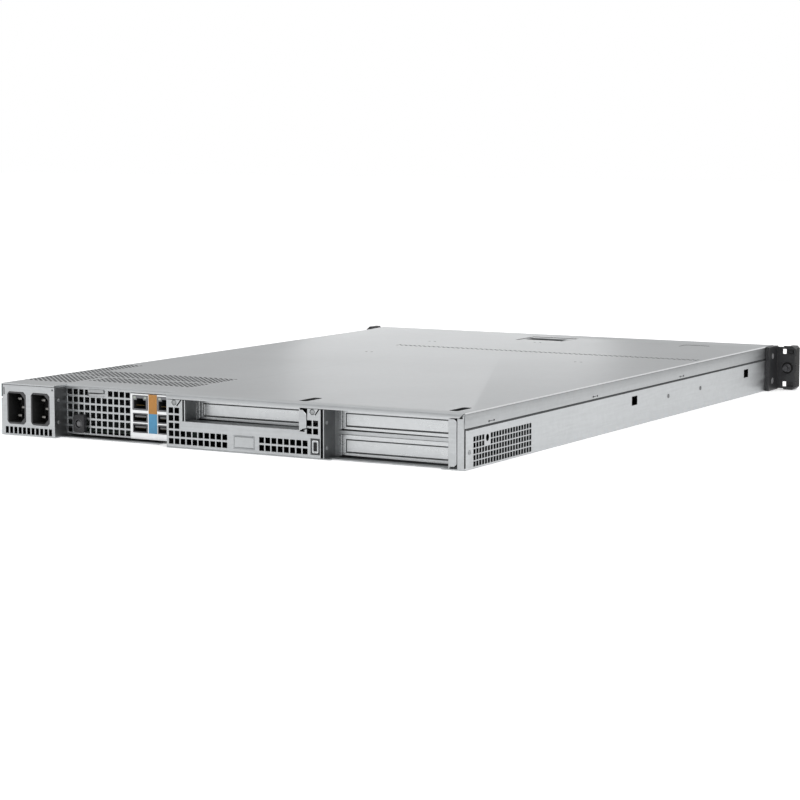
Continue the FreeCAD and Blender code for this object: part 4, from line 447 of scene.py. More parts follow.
class Recipe:
    """A short way to wire one material's nodes."""

    def __init__(self, name, color, metallic=0.0, roughness=0.5):
        self.material = bpy.data.materials.get(name) or bpy.data.materials.new(name)
        self.material.use_nodes = True
        self.tree = self.material.node_tree
        self.tree.nodes.clear()
        self.output = self.add("OutputMaterial")
        self.shader = self.add("BsdfPrincipled")
        self.link(self.shader, "BSDF", self.output, "Surface")
        self.shader.inputs["Base Color"].default_value = (*color, 1)
        self.shader.inputs["Metallic"].default_value = metallic
        self.shader.inputs["Roughness"].default_value = roughness
        self.color = color
        self.place = None

    def add(self, kind, **inputs):
        """A shader node with some of its inputs set."""
        node = self.tree.nodes.new("ShaderNode" + kind)
        for key, value in inputs.items():
            node.inputs[key.replace("_", " ")].default_value = value
        return node

    def link(self, source, output, target, socket):
        self.tree.links.new(source.outputs[output], target.inputs[socket])

    def points(self, scale=(1, 1, 1)):
        """Object coordinates stretched by a scale."""
        if self.place is None:
            self.place = self.add("TexCoord")
        mapping = self.add("Mapping")
        mapping.inputs["Scale"].default_value = scale
        self.link(self.place, "Object", mapping, "Vector")
        return mapping

    def noise(self, scale, detail=4.0, stretch=(1, 1, 1)):
        """A noise pattern on stretched object coordinates."""
        node = self.add("TexNoise", Scale=scale, Detail=detail, Roughness=0.55)
        self.link(self.points(stretch), "Vector", node, "Vector")
        return node

    def ramp(self, source, output, low, high, start=0.3, end=0.7):
        """A factor turned into a range between two colours."""
        node = self.add("ValToRGB")
        node.color_ramp.elements[0].position = start
        node.color_ramp.elements[0].color = low
        node.color_ramp.elements[1].position = end
        node.color_ramp.elements[1].color = high
        self.link(source, output, node, "Fac")
        return node

    def tone(self, source, output, spread, start=0.3, end=0.7):
        """The base colour varied between darker and lighter by a factor."""
        low, high = scaled(self.color, 1 - spread), scaled(self.color, 1 + spread)
        return self.ramp(source, output, low, high, start, end)

    def mix(self, first, second, factor=0.5, blend="MULTIPLY"):
        node = self.add("Mix")
        node.data_type = "RGBA"
        node.blend_type = blend
        node.inputs[0].default_value = factor
        self.tree.links.new(first, node.inputs[6])
        self.tree.links.new(second, node.inputs[7])
        return node.outputs[2]

    def base(self, socket):
        self.tree.links.new(socket, self.shader.inputs["Base Color"])

    def rough(self, source, output, low, high, start=0.3, end=0.7):
        node = self.ramp(source, output, grey(low), grey(high), start, end)
        self.link(node, "Color", self.shader, "Roughness")

    def bump(self, source, output, strength, distance):
        node = self.add("Bump", Strength=strength, Distance=distance)
        self.link(source, output, node, "Height")
        self.link(node, "Normal", self.shader, "Normal")


ALONG, ACROSS = (60, 3, 60), (3, 60, 60)  # stretch of the rolling streaks


def zinc_sheet(name, color, rough_low, rough_high, grain=0.08, spangle=0.05, streak=ALONG, relief=0.10):
    """Zinc-coated sheet: rolling streaks, faint spangle, handling marks and a matt-to-satin sheen."""
    recipe = Recipe(name, color, metallic=1.0, roughness=(rough_low + rough_high) / 2)
    rolled = recipe.noise(9.0, 5.0, streak)
    cloudy = recipe.noise(7.0, 3.0)
    flakes = recipe.add("TexVoronoi", Scale=260.0)
    recipe.link(recipe.points(), "Vector", flakes, "Vector")
    grained = recipe.tone(rolled, "Fac", grain)
    clouded = recipe.ramp(cloudy, "Fac", grey(0.93), grey(1))
    spangled = recipe.ramp(flakes, "Color", grey(1 - spangle), grey(1), 0.1, 0.9)
    mixed = recipe.mix(grained.outputs["Color"], clouded.outputs["Color"], 1.0)
    recipe.base(recipe.mix(mixed, spangled.outputs["Color"], 1.0))
    recipe.rough(rolled, "Fac", rough_low, rough_high)
    recipe.bump(rolled, "Fac", relief, 0.0002)


def plated(name, color, roughness, spread=0.06, scale=90.0, metallic=1.0):
    """Plated metal with light handling marks."""
    recipe = Recipe(name, color, metallic=metallic, roughness=roughness)
    marks = recipe.noise(scale, 5.0)
    recipe.base(recipe.tone(marks, "Fac", spread).outputs["Color"])
    recipe.rough(marks, "Fac", roughness * 0.8, roughness * 1.25)
    recipe.bump(marks, "Fac", 0.06, 0.0002)


def moulded(name, color, roughness, grain=900.0, depth=0.25, spread=0.12, wear=25.0, sheen=0.12,
            height=0.0001):
    """Moulded plastic: a fine eroded texture, and wear that varies the colour and the sheen."""
    recipe = Recipe(name, color, roughness=roughness)
    texture = recipe.noise(grain, 2.0)
    worn = recipe.noise(wear, 3.0)
    recipe.base(recipe.tone(worn, "Fac", spread).outputs["Color"])
    recipe.rough(worn, "Fac", roughness * (1 - sheen), roughness * (1 + sheen))
    recipe.bump(texture, "Fac", depth, height)
    return recipe


def powder_coat(name, color, roughness):
    """Powder coat: orange peel under a thin gloss."""
    recipe = moulded(name, color, roughness, grain=700.0, depth=0.35, spread=0.10, wear=20.0, sheen=0.15,
                     height=0.0002)
    recipe.shader.inputs["Coat Weight"].default_value = 0.15
    recipe.shader.inputs["Coat Roughness"].default_value = 0.35


def circuit_board(name, color):
    """Solder mask over copper runs."""
    recipe = Recipe(name, color, roughness=0.42)
    runs = recipe.add("TexBrick", Scale=1.0, Color1=scaled(color, 0.75), Color2=scaled(color, 0.95),
                      Mortar=scaled(color, 1.7), Mortar_Size=0.012)
    recipe.link(recipe.points((90, 140, 90)), "Vector", runs, "Vector")
    recipe.base(runs.outputs["Color"])
    recipe.bump(runs, "Fac", 0.15, 0.0001)


def label_film(name, upper, lower, border_z):
    """Printed film in two colours that meet at one height."""
    recipe = Recipe(name, upper, roughness=0.42)
    split = recipe.add("SeparateXYZ")
    recipe.link(recipe.points(), "Vector", split, "Vector")
    above = recipe.add("Math")
    above.operation = "GREATER_THAN"
    above.inputs[1].default_value = border_z
    recipe.link(split, "Z", above, 0)
    print_grain = recipe.noise(500.0, 2.0)
    mix = recipe.add("Mix")
    mix.data_type = "RGBA"
    mix.inputs[6].default_value = (*lower, 1)
    mix.inputs[7].default_value = (*upper, 1)
    recipe.link(above, "Value", mix, 0)
    printed = recipe.ramp(print_grain, "Fac", grey(0.9), grey(1))
    recipe.base(recipe.mix(mix.outputs[2], printed.outputs["Color"], 1.0))
    recipe.bump(print_grain, "Fac", 0.05, 0.0001)


def bare(node, material):
    """A CAD node shown as it is, with this material."""
    data = NODES[node].data
    data.materials.clear()
    data.materials.append(bpy.data.materials[material])


# ------------------------------------------------------------------ settings
def color_setting(name, description, default):
    return FloatVectorProperty(name=name, description=description, default=default, subtype="COLOR",
                               min=0, max=1)


def length_setting(name, description, default):
    return FloatProperty(name=name, description=description, default=default, unit="LENGTH", precision=4)


def light_setting(name, description, default):
    return FloatProperty(name=name, description=description, default=default, min=0)


def count_setting(name, description, default, least, most):
    return IntProperty(name=name, description=description, default=default, min=least, max=most)


class StageSettings(bpy.types.PropertyGroup):
    surround: light_setting("Surround", "Brightness of the studio walls in view", 1.0)
    low_walls: light_setting("Low walls", "Brightness of the walls near the floor", 0.46)
    high_walls: light_setting("High walls", "Brightness of the walls overhead", 0.92)
    key_power: light_setting("Key light", "Power of the large soft light in watts", 29)
    strip_power: light_setting("Strip light", "Power of the strip behind the far edge in watts", 0.95)


class FinishSettings(bpy.types.PropertyGroup):
    zinc: color_setting("Zinc sheet", "Colour of the case's sheet", (0.50, 0.515, 0.525))
    plate: color_setting("Bright plate", "Colour of the slot covers", (0.57, 0.585, 0.595))
    # the jack plate's colour is also painted as a highlight on the lid's folds
    jack_plate_and_painted_fold_highlight: color_setting("Jack plate", "Colour of the plate around the jacks", (0.84, 0.85, 0.86))
    ear: color_setting("Ears", "Colour of the rack ears' coat", (0.014, 0.0145, 0.016))
    plastic: color_setting("Plastic", "Colour of the black mouldings", (0.014, 0.014, 0.016))
    label_top: color_setting("Label top", "Upper colour of the strip by the jacks", (0.42, 0.19, 0.035))
    label_foot: color_setting("Label foot", "Lower colour of the strip by the jacks", (0.07, 0.27, 0.46))
    label_border: length_setting("Label border", "Height where the strip's colours meet", 23.5 * MM)
    edge: length_setting("Broken edge", "Width of a sheet's broken edges", 0.18 * MM)


class LidSettings(bpy.types.PropertyGroup):
    sheet: length_setting("Sheet", "Thickness of the lid's sheet", 1.0 * MM)
    skirt: length_setting("Skirt", "Height of the lid's side flanges", 11.5 * MM)
    rear_flange: length_setting("Rear flange", "Height of the flange over the rear face", 4.0 * MM)
    bend: length_setting("Bend", "Outer radius of the lid's folds", 1.4 * MM)
    hole: length_setting("Hole", "Diameter of the perforations", 2.8 * MM)
    pitch: length_setting("Pitch", "Distance between perforations in a row", 5.2 * MM)
    hole_sides: count_setting("Hole sides", "Corners of each perforation", 10, 6, 24)


class HardwareSettings(bpy.types.PropertyGroup):
    rivet: length_setting("Rivet", "Radius of the flat rivets", 1.9 * MM)
    head: length_setting("Head", "Height of a rivet's head", 0.4 * MM)
    sides: count_setting("Sides", "Corners of a round head", 24, 12, 48)


# ------------------------------------------------------------------ operators
class Step:
    """What the operators share: one press builds their pieces."""

    def execute(self, context):
        self.build(context.scene)
        return {"FINISHED"}


class SERVER_OT_stage(Step, bpy.types.Operator):
    """Camera, floor, studio walls and soft light."""

    bl_idname = "server.stage"
    bl_label = "Stage"

    def build(self, scene):
        stage = scene.server_stage
        scene.view_settings.view_transform = "Standard"
        data = bpy.data.cameras.new("view_camera")
        data.sensor_width = 36
        data.lens = LENS
        data.clip_end = 50
        camera = bpy.data.objects.new("view_camera", data)
        camera.location = CAMERA_PLACE
        camera.rotation_euler = (math.pi / 2 - CAMERA_DIP, 0, CAMERA_TURN)
        link(camera)
        scene.camera = camera
        reach = 9
        floor = start_sheet("floor", (-reach, -reach), (reach, reach), 0.0)
        recipe = Recipe("pale_floor", (0.94, 0.94, 0.94), roughness=0.8)
        recipe.base(recipe.tone(recipe.noise(3.0), "Fac", 0.004).outputs["Color"])
        recipe.shader.inputs["Emission Color"].default_value = grey(1)
        recipe.shader.inputs["Emission Strength"].default_value = 0.3
        floor.data.materials.append(recipe.material)
        self.light("key_light", (-1.5, 1.3, 1.9), 1.6, stage.key_power)
        strip = self.light("strip_light", (1.11, -2.12, 0.25), 0.62, stage.strip_power)
        strip.data.shape = "RECTANGLE"
        strip.data.size_y = 0.3
        strip.visible_camera = False
        scene.world = self.walls(stage)

    def light(self, name, place, size, power):
        data = bpy.data.lights.new(name, "AREA")
        data.size = size
        data.energy = power
        lamp = bpy.data.objects.new(name, data)
        lamp.location = place
        lamp.rotation_euler = Vector(place).to_track_quat("Z", "Y").to_euler()
        link(lamp)
        return lamp

    def walls(self, stage):
        """Studio walls that are brighter overhead than near the floor, and white where they show."""
        world = bpy.data.worlds.new("studio")
        world.use_nodes = True
        tree = world.node_tree
        tree.nodes.clear()
        kinds = ("OutputWorld", "MixShader", "LightPath", "Background", "Background", "TexCoord",
                 "SeparateXYZ", "MapRange")
        output, blend, path, seen, lit, place, height, ramp = (
            tree.nodes.new("ShaderNode" + kind) for kind in kinds)
        seen.inputs["Strength"].default_value = stage.surround
        for wall in (seen, lit):
            wall.inputs["Color"].default_value = grey(1)
        ramp.interpolation_type = "SMOOTHSTEP"
        limits = {"From Min": 0.08, "From Max": 0.55, "To Min": stage.low_walls, "To Max": stage.high_walls}
        for key, value in limits.items():
            ramp.inputs[key].default_value = value
        wires = (
            (place, "Generated", height, "Vector"), (height, "Z", ramp, "Value"),
            (ramp, "Result", lit, "Strength"), (path, "Is Camera Ray", blend, "Fac"),
            (lit, "Background", blend, 1), (seen, "Background", blend, 2),
            (blend, "Shader", output, "Surface"),
        )
        for source, leaving, target, entering in wires:
            tree.links.new(source.outputs[leaving], target.inputs[entering])
        return world


class SERVER_OT_finishes(Step, bpy.types.Operator):
    """All finishes, and the CAD pieces that keep their shape."""

    bl_idname = "server.finishes"
    bl_label = "Finishes"

    def build(self, scene):
        look = scene.server_finish
        zinc_sheet("zinc", look.zinc, 0.30, 0.42)

        def zinc_by(share):
            return tuple(share * channel for channel in look.zinc)

        zinc_sheet("lid_zinc", zinc_by(1.035), 0.32, 0.39, grain=0.04, spangle=0.03, streak=ACROSS,
                   relief=0.04)
        # a darker copy of the zinc, painted shade on the lid's skirt, the lid's tongue and the hasp loop
        # ahead of the grille
        zinc_sheet("zinc_painted_light_shade", zinc_by(0.80), 0.28, 0.38)
        zinc_sheet("zinc_rear", look.zinc, 0.30, 0.42, streak=ACROSS)
        zinc_sheet("zinc_shaded", zinc_by(0.22), 0.45, 0.6)
        # the slot covers' plate, also a painted highlight on the floor lip's front edge
        zinc_sheet("bright_plate_and_painted_edge_highlight", look.plate, 0.24, 0.34, grain=0.05, streak=ACROSS)
        # the jack plate's colour, also a painted highlight on the lid's folds
        zinc_sheet("jack_plate_and_painted_fold_highlight", look.jack_plate_and_painted_fold_highlight, 0.28, 0.36, grain=0.03, streak=ACROSS)
        plated("rivet_steel", (0.60, 0.61, 0.62), 0.30)
        plated("rivet_zinc", (0.33, 0.34, 0.345), 0.36)
        # dark steel for the captive screws, also painted shade on the blades' deep parts
        plated("dark_steel_and_painted_shade", (0.10, 0.10, 0.105), 0.38)
        plated("screw_steel", (0.58, 0.58, 0.59), 0.42)
        powder_coat("ear_coat", look.ear, 0.40)
        # a darker copy of the zinc, painted shade on the recess walls, the riser tunnel's sides, the wall
        # pads and the side studs
        zinc_sheet("zinc_painted_mid_shade", zinc_by(0.34), 0.4, 0.5, streak=ACROSS)
        moulded("black_plastic", look.plastic, 0.42)
        # the inlets' black plastic, lightened as a painted sheen on their rims
        moulded("inlet_plastic_painted_sheen", (0.045, 0.045, 0.048), 0.32, depth=0.1)
        moulded("chip_black", (0.012, 0.012, 0.013), 0.5)
        # near-black painted shade for mouths, gaps, pockets and slots
        moulded("painted_black_shade", (0.004, 0.004, 0.004), 0.75)
        moulded("lever_plastic", (0.05, 0.05, 0.055), 0.45)
        moulded("button_plastic", (0.13, 0.13, 0.135), 0.45)
        moulded("lens_plastic", (0.34, 0.37, 0.33), 0.3, depth=0.05)
        circuit_board("board_mask", (0.003, 0.014, 0.009))
        plated("fin_aluminium", (0.66, 0.66, 0.67), 0.38, 0.05, 60)
        plated("drive_casting", (0.42, 0.42, 0.43), 0.45, 0.08, 40)
        plated("jack_shell", (0.17, 0.17, 0.18), 0.34)
        # nickel blades, their colour darkened as painted shade of the inlet's cavity
        plated("blade_metal_in_painted_shade", (0.22, 0.215, 0.205), 0.34)
        plated("contact_gold", (0.17, 0.115, 0.045), 0.4)
        label_film("label_film", look.label_top, look.label_foot, look.label_border)
        for node in NODES:
            bare(node, FINISH_OF_SLOT.get(SLOT_OF[node], "zinc"))
        # the pieces inside take the zinc's painted shade
        for node in ("power_supply_front", "power_supply_rear", "fan_bracket", "drive_cage"):
            bare(node, "zinc_shaded")


class SERVER_OT_case(Step, bpy.types.Operator):
    """The pan with broken edges and a shaded inside."""

    bl_idname = "server.case"
    bl_label = "Case"

    def build(self, scene):
        holes = []
        gap_x, gap_depth = 217.1, 0.6
        for side in SIDES:
            for depth in RAIL_HOLES:
                holes.append(block_mm("rail_hole", (side * 216, side * 220), (depth - 5.8, depth + 5.8),
                                      (18.2, 25.8)))
            holes.append(block_mm("corner_gap", (side * gap_x, side * 219), (-1, gap_depth), (2.0, 31.0)))
        case = dress("chassis_base", "zinc", cutters=holes)
        recess, ledge = at_depth(17.3), at_depth(12)  # the floor lies in the shade ahead of the ledge
        for depth in (recess, ledge):
            split_at(case, (0, depth, 0), (0, 1, 0))
        seam_foot, seam_low, seam_high = 29.9 * MM, 30.2 * MM, 31.8 * MM
        walls, seam_x = 200 * MM, 216.5 * MM  # X beyond which the side walls and their seam lie

        def painted_gap_shade(c, n):
            return (abs(c.x) > (gap_x - 0.1) * MM and c.y > at_depth(gap_depth + 0.05) and c.z < 31.3 * MM
                    and (n.y > 0.5 or abs(n.x) > 0.5)
                    and (c.y < at_depth(gap_depth - 0.2) or abs(c.x) < (gap_x + 0.1) * MM))

        def inner_wall(c, n):
            return faces_in(c, n) and abs(c.x) > walls

        def floor_ahead(c, n):
            return n.z > 0.5 and c.z < 3 * MM and c.y < ledge

        def joggle(c, n):
            return 0.2 < abs(n.z) < 0.95 and seam_low < c.z < seam_high and abs(c.x) > walls

        def seam(c, n):
            return (abs(n.x) > 0.2 and seam_foot < c.z < seam_high and abs(c.x) > seam_x
                    and c.y < at_depth(2))

        # the corner gap's faces are painted black as shade
        second_finish(case, "painted_black_shade", painted_gap_shade)
        split_at(case, (0, 0, seam_foot), (0, 0, 1))
        # painted shade on the walls' inner faces, the floor ahead of the ledge and the joggle, and a painted
        # shadow band on the outer wall under the skirt's edge
        shade(case, lambda c, n: any(test(c, n) for test in (inner_wall, floor_ahead, joggle, seam)))
        # the floor lip's front edge takes the bright plate as a painted highlight
        second_finish(case, "bright_plate_and_painted_edge_highlight", lambda c, n: n.y > 0.5 and c.z < 1 * MM
                      and at_depth(9.5) < c.y < at_depth(3.5))
        shade_side_holes(case, 0.02, 0.9, (1.5 * MM, 30 * MM))


class SERVER_OT_lid(Step, bpy.types.Operator):
    """The perforated lid with its folds, slots, lances, dimples and catches."""

    bl_idname = "server.lid"
    bl_label = "Lid"

    def build(self, scene):
        lid = scene.server_lid
        shell = start_sheet("lid_shell", (-SIDE, at_depth(LID_LENGTH)), (SIDE, REAR), TOP)
        notch = [x * MM for x in NOTCH_X]
        notch_y, ears = at_depth(NOTCH_DEPTH), at_depth(SKIRT_END)
        for x in notch:
            split_at(shell, (x, 0, 0), (1, 0, 0))
        for y in (notch_y, ears):
            split_at(shell, (0, y, 0), (0, 1, 0))
        choose(shell, "FACE", lambda c, n: notch[0] < c.x < notch[1] and c.y > notch_y)
        bpy.ops.mesh.delete(type="FACE")
        leave_edit()

        def on_side(c):
            return abs(abs(c.x) - SIDE) < TINY and c.y > ears

        def on_rear(c):
            return abs(c.y - REAR) < TINY and c.x < notch[0] and c.z > TOP - TINY

        def on_notch(c):
            return abs(c.y - notch_y) < TINY and notch[0] < c.x < notch[1] and c.z > TOP - TINY

        pull(shell, "EDGE", lambda c, n: on_side(c), (0, 0, -lid.skirt))
        pull(shell, "EDGE", lambda c, n: on_rear(c), (0, 0, -lid.rear_flange))
        pull(shell, "EDGE", lambda c, n: on_notch(c), (0, 0, -3.2 * MM))
        shift(shell, "VERT", lambda c, n: abs(c.x + SIDE) < TINY and abs(c.y - REAR) < TINY
              and abs(c.z - TOP + lid.rear_flange) < TINY, (4.6 * MM, 0, 0))
        bevel_edges(shell, lambda c, n: c.z > TOP - TINY and (on_side(c) or on_rear(c) or on_notch(c)),
                    lid.bend, 4)
        apply_modifier(shell, "SOLIDIFY", thickness=lid.sheet, offset=-1.0, use_even_offset=True)
        for cutter in (self.perforations(lid), self.openings(), *self.lances(), *self.marks()):
            punch(shell, cutter, "MANIFOLD")
        smooth(shell, 25)
        mount(shell, "lid_zinc", "cover")
        under = TOP - lid.sheet * 0.5
        # the skirt's outer faces take the darker zinc as painted shade
        second_finish(shell, "zinc_painted_light_shade", lambda c, n: abs(n.x) > 0.8 and n.x * c.x > 0
                      and abs(c.x) > SIDE - lid.bend)
        shade(shell, lambda c, n: (n.z < -0.5 and c.z > under - lid.sheet)
              or (faces_in(c, n) and abs(c.x) > SIDE - 2 * lid.sheet))
        # the lid's folds take the light jack plate finish as a painted highlight
        second_finish(shell, "jack_plate_and_painted_fold_highlight", lambda c, n: 0.12 < abs(n.x) < 0.9 and n.z > 0.3
                      and abs(c.x) > SIDE - lid.bend and c.z > TOP - lid.bend)
        shade_holes(shell, 2, (TOP - 0.97 * MM, TOP - 0.03 * MM), 2 * MM,
                    lambda c: notch[0] - 2 * MM < c.x < notch[1] + 2 * MM and c.y > notch_y - 2 * MM)
        shade_side_holes(shell, 0.03, 0.97, (TOP - 11 * MM, TOP - 4 * MM))
        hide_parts("top_cover")
        mount(self.catches(), "zinc", "cover")
        tongue = block_mm("lid_tongue", (124.7, 140.4), (15.5, 16.4), (37.65, 40.5))
        soften(tongue, 0.15 * MM)
        # the tongue takes the darker zinc as painted shade
        mount(tongue, "zinc_painted_light_shade", "cover")

    def perforations(self, lid):
        """The staggered fields of round holes."""
        hole = start_rod("hole", (0, 0, TOP), lid.hole / 2, 6 * MM, "Z", lid.hole_sides)
        pitch = lid.pitch / MM
        row = pitch / 2
        moves = []
        for x0, x1, depth0, depth1 in HOLE_FIELDS:
            rows = int((depth1 - depth0) / row) + 1
            for index in range(rows):
                start = x1 - (pitch / 2 if index % 2 else 0)
                count = int((start - x0) / pitch) + 1
                for column in range(count):
                    moves.append(((start - column * pitch) * MM, at_depth(depth0 + index * row), 0))
        return copies(hole, moves)

    def openings(self):
        """Two access slots and the latch's well."""
        made = []
        for x in ACCESS_SLOTS:
            slot = start_block("slot", ((x - 3.9) * MM, at_depth(34.5), TOP - 4 * MM),
                               ((x + 3.9) * MM, at_depth(10), TOP + 4 * MM))
            bevel_edges(slot, lambda c, n: abs(n.z) > 0.9, 2.3 * MM, 5)
            made.append(slot)
        low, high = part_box("latch_lever")
        gap, nose_room = 0.14 * MM, 2.6 * MM
        made.append(start_block("well", (low.x - gap, low.y - nose_room, TOP - 4 * MM),
                                (high.x + gap, high.y + gap, TOP + 4 * MM)))
        return join(made, "openings")

    def lances(self):
        """The round-ended pairs in the skirt, in front of each catch."""
        ends, bars = [], []
        for side in SIDES:
            for depth in CATCHES:
                for end in (-4.2, 4.2):
                    place = spot(side * 217.5, depth + end, 33.6)
                    ends.append(start_rod("lance_end", place, 0.95 * MM, 6 * MM, "X", 12))
                bars.append(block_mm("lance", (side * 215, side * 220), (depth - 4.2, depth + 4.2),
                                     (33.35, 33.8)))
        return join(ends, "lance_ends"), join(bars, "lances")

    def marks(self):
        """Four pairs of small dimples, and a shallow pressed field beside the latch."""
        made = []
        for x, depth in DIMPLE_PAIRS:
            for end in (-3.0, 3.0):
                deselect()
                bpy.ops.mesh.primitive_uv_sphere_add(segments=12, ring_count=8, radius=1.5 * MM,
                                                     location=spot(x + end, depth, 43.2 + 0.65))
                made.append(finished("dimple"))
        field = block_mm("field", (-168, -142), (582, 601), (42.95, 44))
        bevel_edges(field, lambda c, n: abs(n.z) > 0.9, 3 * MM, 4)
        corner = slit("corner_relief", (-212.6, 38.6), (-217.2, 42.9), 0.8, (-1, 1.3))
        return join(made, "dimples"), field, corner

    def catches(self):
        """Folded tongues inside the skirt that hold the pan's lip."""
        made = []
        low_z = TOP - 9.7 * MM
        for side in SIDES:
            for depth in CATCHES:
                ends = sorted((side * (SIDE - 0.9 * MM), side * (SIDE - 2.6 * MM)))
                catch = start_block("catch", (ends[0], at_depth(depth + 4.5), low_z),
                                    (ends[1], at_depth(depth - 4.5), low_z + 1.0 * MM))
                soften(catch, 0.2 * MM)
                made.append(catch)
        return join(made, "lid_catches")


class SERVER_OT_inlets(Step, bpy.types.Operator):
    """The inlet bracket, the mains inlets and their blades."""

    bl_idname = "server.inlets"
    bl_label = "Mains inlets"

    def build(self, scene):
        hole = start_rod("bracket_pilot", spot(165.2, 0.5, 39.6), 0.75 * MM, 4 * MM, "Y", 12)
        bracket = dress("inlet_bracket", "zinc_rear", cutters=[hole])
        # the bracket's wall in the recess takes the darker zinc as painted shade
        second_finish(bracket, "zinc_painted_mid_shade", lambda c, n: n.x < -0.8 and c.x < 164 * MM
                      and c.y < REAR - 1.2 * MM)
        shade_holes(bracket, 1, (REAR - 0.97 * MM, REAR - 0.03 * MM))
        shells = dress("ac_inlets", "inlet_plastic_painted_sheen", 0.4 * MM, segments=2)
        # the inlet's cavity is painted black as shade
        second_finish(shells, "painted_black_shade", lambda c, n: c.y < at_depth(0.6))
        tips = block_mm("blade_tips", (170, 209), (-1, 6.5), (12, 34))
        blades = dress("inlet_blades", "blade_metal_in_painted_shade", 0.35 * MM, [tips], segments=2)
        # the blades deeper than 9 mm are painted dark steel as shade
        second_finish(blades, "dark_steel_and_painted_shade", lambda c, n: c.y < at_depth(9))


class SERVER_OT_rear_panel(Step, bpy.types.Operator):
    """The recessed grille, the jack plate with its jacks, and the rear button."""

    bl_idname = "server.rear_panel"
    bl_label = "Rear panel"

    def build(self, scene):
        grille = dress("rear_vent_panel", "zinc_rear")
        # the hasp loop ahead of the grille takes the darker zinc as painted shade
        second_finish(grille, "zinc_painted_light_shade", lambda c, n: c.y > at_depth(16.4))
        shade_holes(grille, 1, (at_depth(17.7), at_depth(16.9)))
        dress("io_plate", "jack_plate_and_painted_fold_highlight")
        dress("io_label_strip", "label_film", 0.1 * MM)
        self.network_jacks()
        self.usb_ports()
        self.button()

    def network_jacks(self):
        """Shells with a mouth painted near-black, partly the black plastic inside and partly painted shade;
        eight gold contacts and two status lenses each.
        """
        shells = dress("rj45_jacks", "jack_shell", 0.15 * MM)
        second_finish(shells, "painted_black_shade", lambda c, n: c.y < at_depth(17.0))
        contact = block_mm("contact", (-0.22, 0.22), (17.4, 26), (28.2, 28.7))
        shift(contact, "FACE", lambda c, n: n.y > 0.9, (0, 0, 1.6 * MM))
        moves = [((x + (pin - 3.5) * 1.05) * MM, 0, 0) for x in JACK_COLUMNS for pin in range(8)]
        mount(copies(contact, moves), "contact_gold")
        lens = block_mm("status_lens", (-1.3, 1.3), (16.35, 16.9), (35.2, 37.2))
        soften(lens, 0.3 * MM)
        moves = [((x + side * 5.2) * MM, 0, 0) for x in JACK_COLUMNS for side in SIDES]
        mount(copies(lens, moves), "lens_plastic")

    def usb_ports(self):
        """Shells whose inside is painted black as shade, a tongue and four contacts each."""
        ports = dress("usb_ports", "jack_shell", 0.12 * MM)
        rear, front = at_depth(16.7), at_depth(641.0)
        second_finish(ports, "painted_black_shade", lambda c, n: front < c.y < rear)
        tongue = block_mm("usb_tongue", (-5.6, 5.6), (17.45, 20), (0.25, 1.95))
        soften(tongue, 0.25 * MM)
        strip = block_mm("usb_strip", (-0.5, 0.5), (17.7, 20), (0.0, 0.22))
        places = [(x, z) for x in JACK_COLUMNS for z in USB_ROWS]
        tongues = copies(tongue, [(x * MM, 0, z * MM) for x, z in places])
        mount(tongues, "button_plastic")
        moves = [((x + (pin - 1.5) * 2.4) * MM, 0, z * MM) for x, z in places for pin in range(4)]
        mount(copies(strip, moves), "contact_gold")

    def button(self):
        """The button's housing with a raised ring, and its cap."""
        dress("rear_button_housing", "black_plastic", 0.5 * MM, segments=2)
        deselect()
        bpy.ops.mesh.primitive_torus_add(location=spot(148, 12.32, 11.7), rotation=(math.pi / 2, 0, 0),
                                         major_radius=3.75 * MM, minor_radius=0.32 * MM, major_segments=32,
                                         minor_segments=10)
        ring = finished("button_ring")
        trim_beyond(ring, 12.3)
        smooth(ring, 60)
        mount(ring, "lever_plastic")
        dress("rear_power_button", "button_plastic", 0.35 * MM, segments=3)


